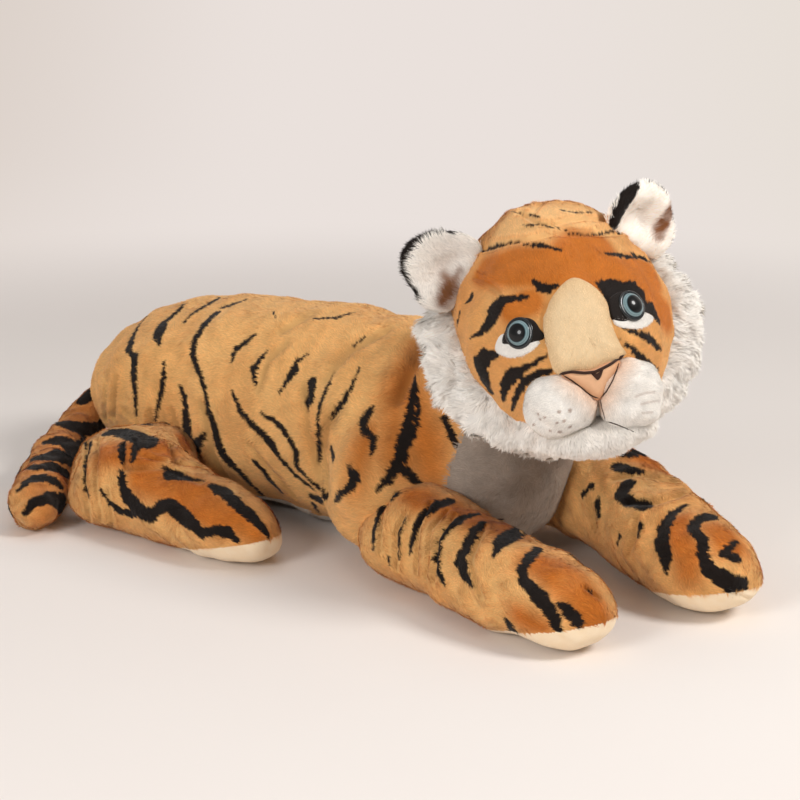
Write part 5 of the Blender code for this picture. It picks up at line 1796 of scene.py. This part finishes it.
# How far each muzzle is raised, and how tall and wide it is against the record's size
MUZZLE_FIT = {"right": (0.003, 0.94, 0.97), "left": (-0.002, 1.03, 0.91)}
MUZZLE_OVERLAP = 0.02
muzzles = {}
for side, label in ((-1, "right"), (1, "left")):
    raised, tall, wide = MUZZLE_FIT[label]
    size = np.array(MUZZLE) * np.array((1.0, wide, tall))
    aside = side * MUZZLE[1] * (wide / 2 - MUZZLE_OVERLAP)
    pad = ball_pad((MUZZLE_AHEAD, aside, raised - MUZZLE_DROP), size, 601 + side, power=0.94)
    at = to_local(pad.points)
    outward = at - np.array((MUZZLE_AHEAD - 0.03, side * 0.01, -MUZZLE_DROP + 0.01))
    pad.naps = way_to_world(unit(outward * np.array((0.3, 1, 1)) + np.array((0, 0, -0.01))))
    muzzles[label] = pad
chin_pad = ball_pad(np.array(CHIN_PLACE) + (0.004, 0, 0.003), np.array(CHIN) * (1.2, 1.75, 1.5),
                    611, level=5)


def nose_skin():
    outline = np.array(((0.5, -0.10), (0.46, -0.28), (0.22, -0.68), (0.06, -0.96), (-0.06, -0.96),
                        (-0.22, -0.68), (-0.46, -0.28), (-0.5, -0.10), (-0.25, -0.06),
                        (0.0, -0.12), (0.25, -0.06)))
    count, rings = 120, 26
    curve = closed_curve(outline, count)
    middle = np.array((0.0, -0.35))
    shares = np.concatenate(([0], np.repeat((np.arange(rings) + 1) / rings, count)))
    flat = np.concatenate((middle[None], np.tile(curve, (rings, 1))))
    flat = middle + (flat - middle) * np.minimum(shares * 1.06, 1)[:, None]
    depth = -0.62 + 0.95 * np.sqrt(np.maximum(1 - shares**2.8, 0))
    spots = np.column_stack((NOSE_AHEAD + depth * NOSE_DEPTH, flat[:, 0] * NOSE_WIDTH * 0.9,
                             flat[:, 1] * NOSE_HEIGHT - NOSE_DROP))
    faces, uvs = disc_grid(rings, count)
    skin = Skin(to_world(spots), faces, uvs, np.zeros_like(spots), spots,
                np.ones(len(spots), bool))
    front = way_to_world(np.array((1.0, 0, 0)))
    if skin.normals[0] @ front < 0:
        skin.turn_over()
    return skin, shares


nose, nose_shares = nose_skin()
show_skin("nose_skin", nose, EVERYWHERE,
          plain_values(len(nose.points), green=smooth(nose_shares, 0.45, 1.0) * 0.9), "head",
          ("nose",), NOSE_MATERIAL, 1.0)

muzzle_tree = merged_tree(*muzzles.values())
muzzle_dots = Strokes(muzzle_tree, HEAD_VIEW,
                      [((x, y, w), (x + 3, y - 2, w * 0.8)) for x, y, w in MUZZLE_DOTS])
muzzle_lines = Strokes(muzzle_tree, HEAD_VIEW, MUZZLE_LINES)
muzzle_peach = Strokes(muzzle_tree, HEAD_VIEW, PEACH)


def paint_muzzle(roots, twins, seen):
    count = len(roots)
    mark = np.maximum(smooth(muzzle_dots.depth(roots), -0.0006, 0.0004),
                      0.5 * smooth(muzzle_lines.depth(roots), -0.0006, 0.0004))
    peach = muzzle_peach.share(roots, 0.016) * 0.8
    return (plain_values(count, green=peach, blue=mark * 0.6,
                         shade=1 + 0.03 * ripple(roots, 0.012, 8)), np.ones(count))


for label, pad in muzzles.items():
    at = to_local(pad.points)
    show_skin(f"muzzle_{label}_skin", pad, EVERYWHERE,
              paint_muzzle(pad.points, None, None)[0], "head",
              (f"muzzle_{label}",), WHITE_MATERIAL)
    grow(f"muzzle_{label}_pile", pad, at[:, 0] > 0.10, paint_muzzle, "head",
         1100e3, 0.0042, 0.0008, math.radians(26), 621, material=WHITE_MATERIAL,
         root_to_tip_shade=(0.95, 1.04), lean=0.1)
show_skin("chin_skin", chin_pad, EVERYWHERE,
          plain_values(len(chin_pad.points)), "head", ("chin",),
          WHITE_MATERIAL)
grow("chin_pile", chin_pad, np.ones(len(chin_pad.points), bool), paint_white, "head",
     800e3, 0.0075, 0.0011, math.radians(26), 631, root_to_tip_shade=(0.95, 1.04), lean=0.1)


# Sewn lines of the face, drawn in the head's enlarged view: (across, down), thread width in mm. The
# philtrum line is no seam: a dark line laid as painted shade in the groove below the nose.
THREADS = {
    "nose_seam": (((795, 1046), (860, 1034), (920, 1040), (975, 1035), (1040, 1003),
                   (1085, 975), (1124, 948)), 2.7),
    "nose_left_line": (((812, 1050), (855, 1075), (900, 1108), (935, 1140), (970, 1160),
                        (1000, 1168)), 1.3),
    "nose_right_line": (((1096, 985), (1082, 1030), (1062, 1080), (1030, 1135), (1000, 1168)),
                        1.1),
    # painted shade in the groove below the nose, not a seam
    "philtrum_shade_line": (((1000, 1168), (1008, 1210), (1020, 1250), (1028, 1282)), 1.0),
    "lip_line": (((1028, 1282), (1055, 1288), (1095, 1302), (1140, 1322), (1180, 1338)), 1.1),
}
face_tree = merged_tree(head, bridge, nose, *muzzles.values(), chin_pad)


def thread(name, pixels, width):
    """A sewn thread as a tube that follows the surface under the drawn line; for the philtrum the
    tube is a dark line of painted shade.
    """
    pixels = np.array(pixels, float)
    steps = np.concatenate(([0], np.cumsum(np.linalg.norm(np.diff(pixels, axis=0), axis=1))))
    at = np.linspace(0, steps[-1], max(int(steps[-1] / 5), 6))
    scale, left, top = HEAD_VIEW
    places = []
    for across, down in zip(np.interp(at, steps, pixels[:, 0]), np.interp(at, steps, pixels[:, 1])):
        hit = face_tree.ray_cast(camera_place, ray_through(across / scale + left,
                                                           down / scale + top))[0]
        if hit is not None:
            places.append(hit)
    places = np.array(places)
    smoothed = places.copy()
    for _ in range(3):
        smoothed[1:-1] = (smoothed[:-2] + 2 * smoothed[1:-1] + smoothed[2:]) / 4
    toward = unit(np.array(camera_place) - smoothed)
    smoothed = smoothed + toward * (0.0016 if name == "nose_seam" else 0.0006)
    along = unit(np.gradient(smoothed, axis=0))
    side = unit(np.cross(along, toward))
    rise = np.cross(side, along)
    round_count = 8
    angle = 2 * np.pi * np.arange(round_count) / round_count
    taper = np.clip(np.minimum(at[: len(places)], at[len(places) - 1] - at[: len(places)]) / 20,
                    0.25, 1)
    radius = (width / 2000 * taper)[:, None, None]
    grid = smoothed[:, None] + radius * (side[:, None] * np.cos(angle)[None, :, None]
                                         + rise[:, None] * np.sin(angle)[None, :, None])
    skin = skin_from_grid(grid, np.repeat(along[:, None], round_count, 1))
    mesh, used = new_mesh(name, skin.points, skin.faces, skin.uvs)
    colour_attribute(mesh, "pile", plain_values(len(used)))
    return add_piece(name, mesh, "head", THREAD_MATERIAL)


for name, (pixels, width) in THREADS.items():
    thread(name, pixels, width)
NOTCH_OUTLINE = ((945, 1032), (975, 1044), (1000, 1034), (1018, 1018), (1008, 1055), (990, 1078),
                 (970, 1062))
notch = laid_pad(NOTCH_OUTLINE, face_tree, 0.0006, 0.0006, 8, 40)[0]
notch_mesh, notch_used = new_mesh("nose_notch", notch.points, notch.faces, notch.uvs)
colour_attribute(notch_mesh, "pile", plain_values(len(notch_used)))
add_piece("nose_notch", notch_mesh, "head", THREAD_MATERIAL)


# The face's pile

bridge_tree = bridge.tree()
EYE_ROOM = EYE_BLACK_RADIUS + 0.0012
eye_centres = [eye_frame(side)(np.zeros((1, 3)))[0] for side in (-1, 1)]
far_from_eyes = np.min(
    [np.linalg.norm(head.points - centre, axis=1) for centre in eye_centres], axis=0
)


def covered_by(tree, points, normals, reach):
    """True where a pad lies over the point."""
    return np.array([
        tree.ray_cast(Vector(p), Vector(n), reach)[0] is not None
        for p, n in zip(points.tolist(), normals.tolist())
    ])


near_front = np.flatnonzero(to_local(head.points)[:, 0] > 0.06)
hidden = np.zeros(len(head.points), bool)
hidden[near_front] = covered_by(bridge_tree, head.points[near_front], head.normals[near_front], 0.02)


def shorten_by_eyes(paint):
    """The pile is trimmed short beside the eyes."""
    def painted(roots, twins, seen):
        values, share = paint(roots, twins, seen)
        gap = np.min([np.linalg.norm(roots - centre, axis=1) for centre in eye_centres], axis=0)
        return values, share * (0.45 + 0.55 * smooth(gap, EYE_ROOM, EYE_ROOM + 0.012))
    return painted


face_paint = shorten_by_eyes(paint_head)
face_keep = on_face & ~hidden & (far_from_eyes > EYE_ROOM)
grow("face_pile", head, face_keep, face_paint, "head", DENSITY * 1.5,
     0.0052, 0.0009, math.radians(20), 701)
edge_white = (head_white.depth(head.points) > 0.002) & on_face
edge_naps = head.naps.copy()
ring_way = to_local(head.points) * np.array((0, 1, 1))
head.naps = way_to_world(unit(unit(ring_way) + np.array((-0.5, 0, -0.3))))
grow("face_edge_pile", head, edge_white, paint_white, "head", 760e3, 0.0115,
     0.0013, math.radians(19), 705, stray=0.22, segments=2, clump=0.2, clump_size=0.016,
     root_to_tip_shade=(0.94, 1.05), lean=0.08)
head.naps = edge_naps
grow("head_back_pile", head, ~on_face, paint_head, "head", DENSITY,
     PILE_LENGTH, PILE_WIDTH, PILE_LIFT, 711)


# Ruff

RUFF_PILE_LENGTH = 0.0125
RUFF_SLIM = {"right": 0.97, "left": 0.92}


def ruff_skin(side, label):
    full = fullness(RUFF_SIDES)
    lean = Matrix.Rotation(-RUFF_LEAN, 3, "Y")
    stations = []
    for share, thickness, depth in RUFF_SHARES:
        angle = RUFF_TOP - (RUFF_TOP + math.pi / 2) * share
        way = lean @ Vector((0, side * math.cos(angle), math.sin(angle)))
        stations.append((way * RUFF_RING_RADIUS, way, thickness, depth))
    rings = []
    for number, (place, outward, thickness, depth) in enumerate(stations):
        before = stations[max(number - 1, 0)][0]
        after = stations[min(number + 1, len(stations) - 1)][0]
        across = (after - before).cross(outward).normalized()
        ring = []
        for corner in range(RUFF_SIDES):
            angle = 2 * math.pi * (corner + 0.5) / RUFF_SIDES
            out = outward * math.cos(angle) * thickness * RUFF_THICKNESS / 2
            deep = across * math.sin(angle) * depth * RUFF_DEPTH / 2
            ring.append((place + (out + deep) / full) * RUFF_SLIM[label])
        rings.append(ring)
    grid, ahead = lofted(rings, 0.5, 80, 0.0026)
    skin = skin_from_grid(to_world(grid), way_to_world(ahead))
    skin.face_out()
    at = to_local(skin.points)
    outward = unit(at * np.array((0, 1, 1)))
    naps = outward + np.array((-0.35, 0, -0.30))
    skin.naps = way_to_world(unit(naps))
    skin.seen[:] = True
    return skin


def paint_ruff(roots, twins, seen):
    shade = 1.0 + 0.035 * ripple(roots, 0.016, 720)
    values = plain_values(len(roots), green=0.0, shade=shade)
    at = to_local(roots)
    inner = smooth(at[:, 0], 0.035, 0.075)
    return values, 1.0 - 0.55 * inner


for side, label in ((-1, "right"), (1, "left")):
    ruff = ruff_skin(side, label)
    wobble(ruff, 731 + side, ((0.0022, 0.045), (0.0010, 0.018)))
    show_skin(f"ruff_{label}_skin", ruff, EVERYWHERE,
              plain_values(len(ruff.points)), "head", (f"ruff_{label}",),
              WHITE_MATERIAL)
    grow(f"ruff_{label}_pile", ruff, np.ones(len(ruff.points), bool), paint_ruff, "head",
         760e3, RUFF_PILE_LENGTH, 0.0013, math.radians(19), 741 + side,
         stray=0.22, segments=2, clump=0.2, clump_size=0.016, material=WHITE_MATERIAL,
         root_to_tip_shade=(0.94, 1.05), lean=0.08)


# Ears

# How far each ear's tip and root lean in to the head, where its black rim begins, how much painted
# light brightens its front, how soft the painted shade of its hollow is, and the black strokes and
# the brown strokes of the hollow's painted shade seen in the head's view
EAR_PULL_IN = {"right": 0.0, "left": 0.010}
EAR_RIM = {"right": (0.82, 0.88), "left": (0.95, 1.0)}
EAR_IN = 0.006
EAR_PAINTED_LIGHT = {"right": 1.0, "left": 1.22}
EAR_BLUR = {"right": 0.007, "left": 0.004}
EAR_BLACK = {
    "right": (((-5, 520, 22), (8, 430, 34), (40, 375, 30), (95, 332, 26), (160, 312, 24),
               (230, 310, 22), (300, 322, 22), (360, 350, 22), (415, 400, 22), (435, 440, 20)),),
    "left": (((1075, 290, 60), (1105, 225, 66), (1135, 160, 66), (1165, 105, 62),
              (1200, 62, 50), (1245, 44, 30)),),
}
EAR_HOLLOW_SHADE = {
    "right": (((225, 560, 50), (250, 620, 80), (215, 680, 50)), ((300, 530, 20), (260, 590, 50))),
    "left": (((1370, 170, 14), (1345, 240, 40), (1310, 300, 60), (1290, 350, 50)),),
}


def ear_skin(side, label):
    up = np.array((math.sin(EAR_AHEAD), side * math.sin(EAR_SIDE), math.cos(EAR_SIDE)))
    up = unit(up)
    root = up * head_reach(up[None])[0]
    turn_out = EAR_TURN_OUT[label]
    ahead = np.array((math.cos(turn_out), side * math.sin(turn_out), 0))
    across = unit(np.cross(up, ahead))
    ahead = np.cross(across, up)
    turn = np.column_stack((ahead, across, up))
    full = fullness(EAR_SIDES)
    rings = []
    for along, width, thickness in EAR_SHARES:
        ring = []
        for corner in range(EAR_SIDES):
            angle = 2 * math.pi * (corner + 0.5) / EAR_SIDES
            ring.append((
                math.sin(angle) * thickness * EAR_THICKNESS / 2 / full,
                side * EAR_SHIFT + math.cos(angle) * width * EAR_WIDTH / 2 / full,
                along * EAR_HEIGHT,
            ))
        rings.append(ring)
    grid, along_way = lofted(rings, 0.5, 110, 0.0016)
    spots = grid.reshape(-1, 3).copy()
    front = spots[:, 0] > 0
    y = spots[:, 1] - side * EAR_SHIFT
    z = spots[:, 2]
    cup = 0.016 * np.exp(-((y / 0.024) ** 2) - ((z - 0.014) / 0.020) ** 2)
    spots[:, 0] -= np.where(front, cup, cup * 0.75)
    spots[:, 0] += 0.006 * (np.abs(y) / 0.042) ** 2
    shape = spots.reshape(grid.shape)
    places = to_world(shape @ turn.T + root)
    inward = (spots[:, 2].clip(0) / EAR_HEIGHT).reshape(grid.shape[:2] + (1,)) ** 1.5
    places = places - np.array(camera_right) * EAR_PULL_IN[label] * inward
    places = places - way_to_world(np.array((0, side * EAR_IN, EAR_IN * 0.5)))
    skin = skin_from_grid(places, way_to_world(along_way @ turn.T))
    skin.face_out()
    skin.seen[:] = True
    skin.paired = 0.0
    skin.mirror = None
    skin.twins = np.column_stack((np.where(front, 1.0, -1.0), y, z))
    return skin, front


for side, label in ((-1, "right"), (1, "left")):
    ear, is_front = ear_skin(side, label)
    wobble(ear, 801 + side, ((0.0008, 0.03),))
    ear_tree = ear.tree()
    ear_black = Strokes(ear_tree, HEAD_VIEW, EAR_BLACK[label])
    ear_hollow_shade = Strokes(ear_tree, HEAD_VIEW, EAR_HOLLOW_SHADE[label])

    def paint_front(roots, twins, seen, black=ear_black, brown=ear_hollow_shade,
                    label=label):
        # brown in the ear's hollow: painted shade
        hollow_shade = brown.share(roots, EAR_BLUR[label]) * (0.85 + 0.15 * ripple(roots, 0.012, 811))
        y, z = twins[:, 1], twins[:, 2]
        edge = smooth(np.hypot(y / 0.042, (z - 0.008) / 0.047), *EAR_RIM[label])
        edge *= smooth(z, 0.016, 0.020)
        rim = np.maximum(frayed(black.depth(roots), roots, 815), edge)
        # the front's white is brightened by painted light, most on the left ear
        return (plain_values(len(roots), green=np.clip(hollow_shade, 0, 1), red=rim,
                             shade=EAR_PAINTED_LIGHT[label]), np.ones(len(roots)))

    def paint_back(roots, twins, seen):
        z = twins[:, 2]
        base = 1 - smooth(z, -0.004, 0.010)
        return (plain_values(len(roots), red=1 - base * 0.9, blue=base,
                             shade=1 + 0.05 * ripple(roots, 0.01, 813)), np.ones(len(roots)))

    front_faces, rear_faces = face_groups(ear, (is_front, ~is_front))
    show_skin(f"ear_front_{label}_skin", ear, front_faces,
              paint_front(ear.points, ear.twins, None)[0], f"ear_{label}",
              (f"ear_front_{label}",), EAR_MATERIAL)
    show_skin(f"ear_back_{label}_skin", ear, rear_faces,
              paint_back(ear.points, ear.twins, None)[0], f"ear_{label}",
              (f"ear_back_{label}",), EAR_MATERIAL)
    grow(f"ear_front_{label}_pile", ear, is_front, paint_front, f"ear_{label}",
         900e3, 0.0085, 0.0010, math.radians(22), 821, material=EAR_MATERIAL,
         root_to_tip_shade=(0.95, 1.04), lean=0.08)
    grow(f"ear_back_{label}_pile", ear, ~is_front, paint_back, f"ear_{label}",
         800e3, 0.0065, 0.0010, math.radians(24), 831, material=EAR_MATERIAL)


# Floor, backdrop and light

SWEEP_WIDTH = 14.0
SWEEP_NEAR = -4.0
SWEEP_FAR = 2.6
SWEEP_RADIUS = 1.6
SWEEP_TOP = 6.0
profile = [(SWEEP_NEAR, 0.0), (SWEEP_FAR, 0.0)]
profile += [
    (SWEEP_FAR + SWEEP_RADIUS * math.sin(a), SWEEP_RADIUS * (1 - math.cos(a)))
    for a in np.linspace(0.05, math.pi / 2, 24)
]
profile.append((SWEEP_FAR + SWEEP_RADIUS, SWEEP_TOP))
deep_way = np.array((-math.sin(CAMERA_AZIMUTH), math.cos(CAMERA_AZIMUTH), 0))
wide_way = np.array(camera_right)
sweep_points = []
for reach, height in profile:
    for side in (-0.5, 0.5):
        sweep_points.append(deep_way * reach + wide_way * side * SWEEP_WIDTH
                            + np.array((0, 0, height)))
sweep_faces = [(2 * k, 2 * k + 1, 2 * k + 3, 2 * k + 2) for k in range(len(profile) - 1)]
sweep_mesh = bpy.data.meshes.new("studio_sweep")
sweep_mesh.from_pydata([tuple(p) for p in sweep_points], [], sweep_faces)
for polygon in sweep_mesh.polygons:
    polygon.use_smooth = True
sweep_nodes = Nodes("studio_paper")
sweep_nodes.finish(sweep_nodes.mix(sweep_nodes.noise(0.8), linear("floor"), linear("wall_middle")),
                   0.95, 0.0, 0.1)
sweep_spot = sweep_nodes.add("ShaderNodeTexCoord").outputs["Object"]


def swept(way, low, high):
    """How far along a horizontal direction a point of the sweep lies, as a soft 0 to 1."""
    along = sweep_nodes.add("ShaderNodeVectorMath", {0: sweep_spot, 1: tuple(way)},
                            operation="DOT_PRODUCT")
    return sweep_nodes.add("ShaderNodeMapRange", {
        "Value": along.outputs["Value"], "From Min": low, "From Max": high,
    }, interpolation_type="SMOOTHSTEP").outputs[0]


# The backdrop's glow darkens towards its sides, most at the left: painted shade of the light's
# fall-off
wall_tone = sweep_nodes.mix(swept(wide_way, -1.3, -0.2), linear("wall_left_shaded"),
                            linear("wall_middle"))
wall_tone = sweep_nodes.mix(swept(wide_way, 0.3, 1.3), wall_tone, linear("wall_right_shaded"))
wall_tone = sweep_nodes.mix(swept(deep_way, 0.2, 1.0), linear("wall_middle"), wall_tone)
glow = sweep_nodes.add("ShaderNodeEmission", {"Color": wall_tone, "Strength": 1.0})
rays = sweep_nodes.add("ShaderNodeLightPath")
shown = sweep_nodes.math("MAXIMUM", rays.outputs["Is Camera Ray"],
                         sweep_nodes.math("MAXIMUM", rays.outputs["Is Glossy Ray"],
                                          rays.outputs["Is Transmission Ray"]))
outward = sweep_nodes.add("ShaderNodeVectorMath", {0: sweep_spot}, operation="LENGTH")
far_away = sweep_nodes.add("ShaderNodeMapRange", {
    "Value": outward.outputs["Value"], "From Min": 0.85, "From Max": 1.9,
}, interpolation_type="SMOOTHSTEP").outputs[0]
glow_share = sweep_nodes.math("MULTIPLY", shown, far_away)
blend_node = sweep_nodes.tree.nodes.new("ShaderNodeMixShader")
sweep_nodes.tree.links.new(glow_share, blend_node.inputs[0])
sweep_nodes.tree.links.new(sweep_nodes.shader.outputs[0], blend_node.inputs[1])
sweep_nodes.tree.links.new(glow.outputs[0], blend_node.inputs[2])
sweep_nodes.tree.links.new(blend_node.outputs[0],
                           sweep_nodes.tree.nodes["Material Output"].inputs["Surface"])
sweep_mesh.materials.append(sweep_nodes.material)
sweep = bpy.data.objects.new("studio_sweep", sweep_mesh)
bpy.context.scene.collection.objects.link(sweep)


def lamp(name, place, target, size, power, colour=(1, 1, 1)):
    data = bpy.data.lights.new(name, "AREA")
    data.shape = "DISK"
    data.size = size
    data.energy = power
    data.color = colour
    item = bpy.data.objects.new(name, data)
    bpy.context.scene.collection.objects.link(item)
    way = Vector(target) - Vector(place)
    item.matrix_world = Matrix.Translation(place) @ way.to_track_quat("-Z", "Y").to_matrix().to_4x4()


def beside(right, toward, height):
    """A place given along the camera's right, towards the camera, and up."""
    spot = -deep_way * toward + wide_way * right
    return (spot[0], spot[1], height)


lamp("key", beside(2.0, 1.1, 2.0), (0.1, 0, 0.15), 0.9, 48, (1.0, 0.985, 0.96))
lamp("fill", beside(-1.6, 2.4, 1.3), (0.1, 0, 0.15), 1.1, 38, (1.0, 0.99, 0.98))
lamp("top", beside(0.0, -0.3, 2.6), (0.0, 0, 0.1), 2.2, 8)
world = bpy.data.worlds.new("studio")
bpy.context.scene.world = world
world.use_nodes = True
world_tree = world.node_tree
light = world_tree.nodes["Background"]
light.inputs[0].default_value = (1.0, 0.985, 0.97, 1)
light.inputs[1].default_value = 0.36
pale = world_tree.nodes.new("ShaderNodeBackground")
pale.inputs[0].default_value = linear("wall_middle")
world_rays = world_tree.nodes.new("ShaderNodeLightPath")
world_mix = world_tree.nodes.new("ShaderNodeMixShader")
world_tree.links.new(world_rays.outputs["Is Camera Ray"], world_mix.inputs[0])
world_tree.links.new(light.outputs[0], world_mix.inputs[1])
world_tree.links.new(pale.outputs[0], world_mix.inputs[2])
world_tree.links.new(world_mix.outputs[0], world_tree.nodes["World Output"].inputs["Surface"])
bpy.context.scene.view_settings.view_transform = "Standard"
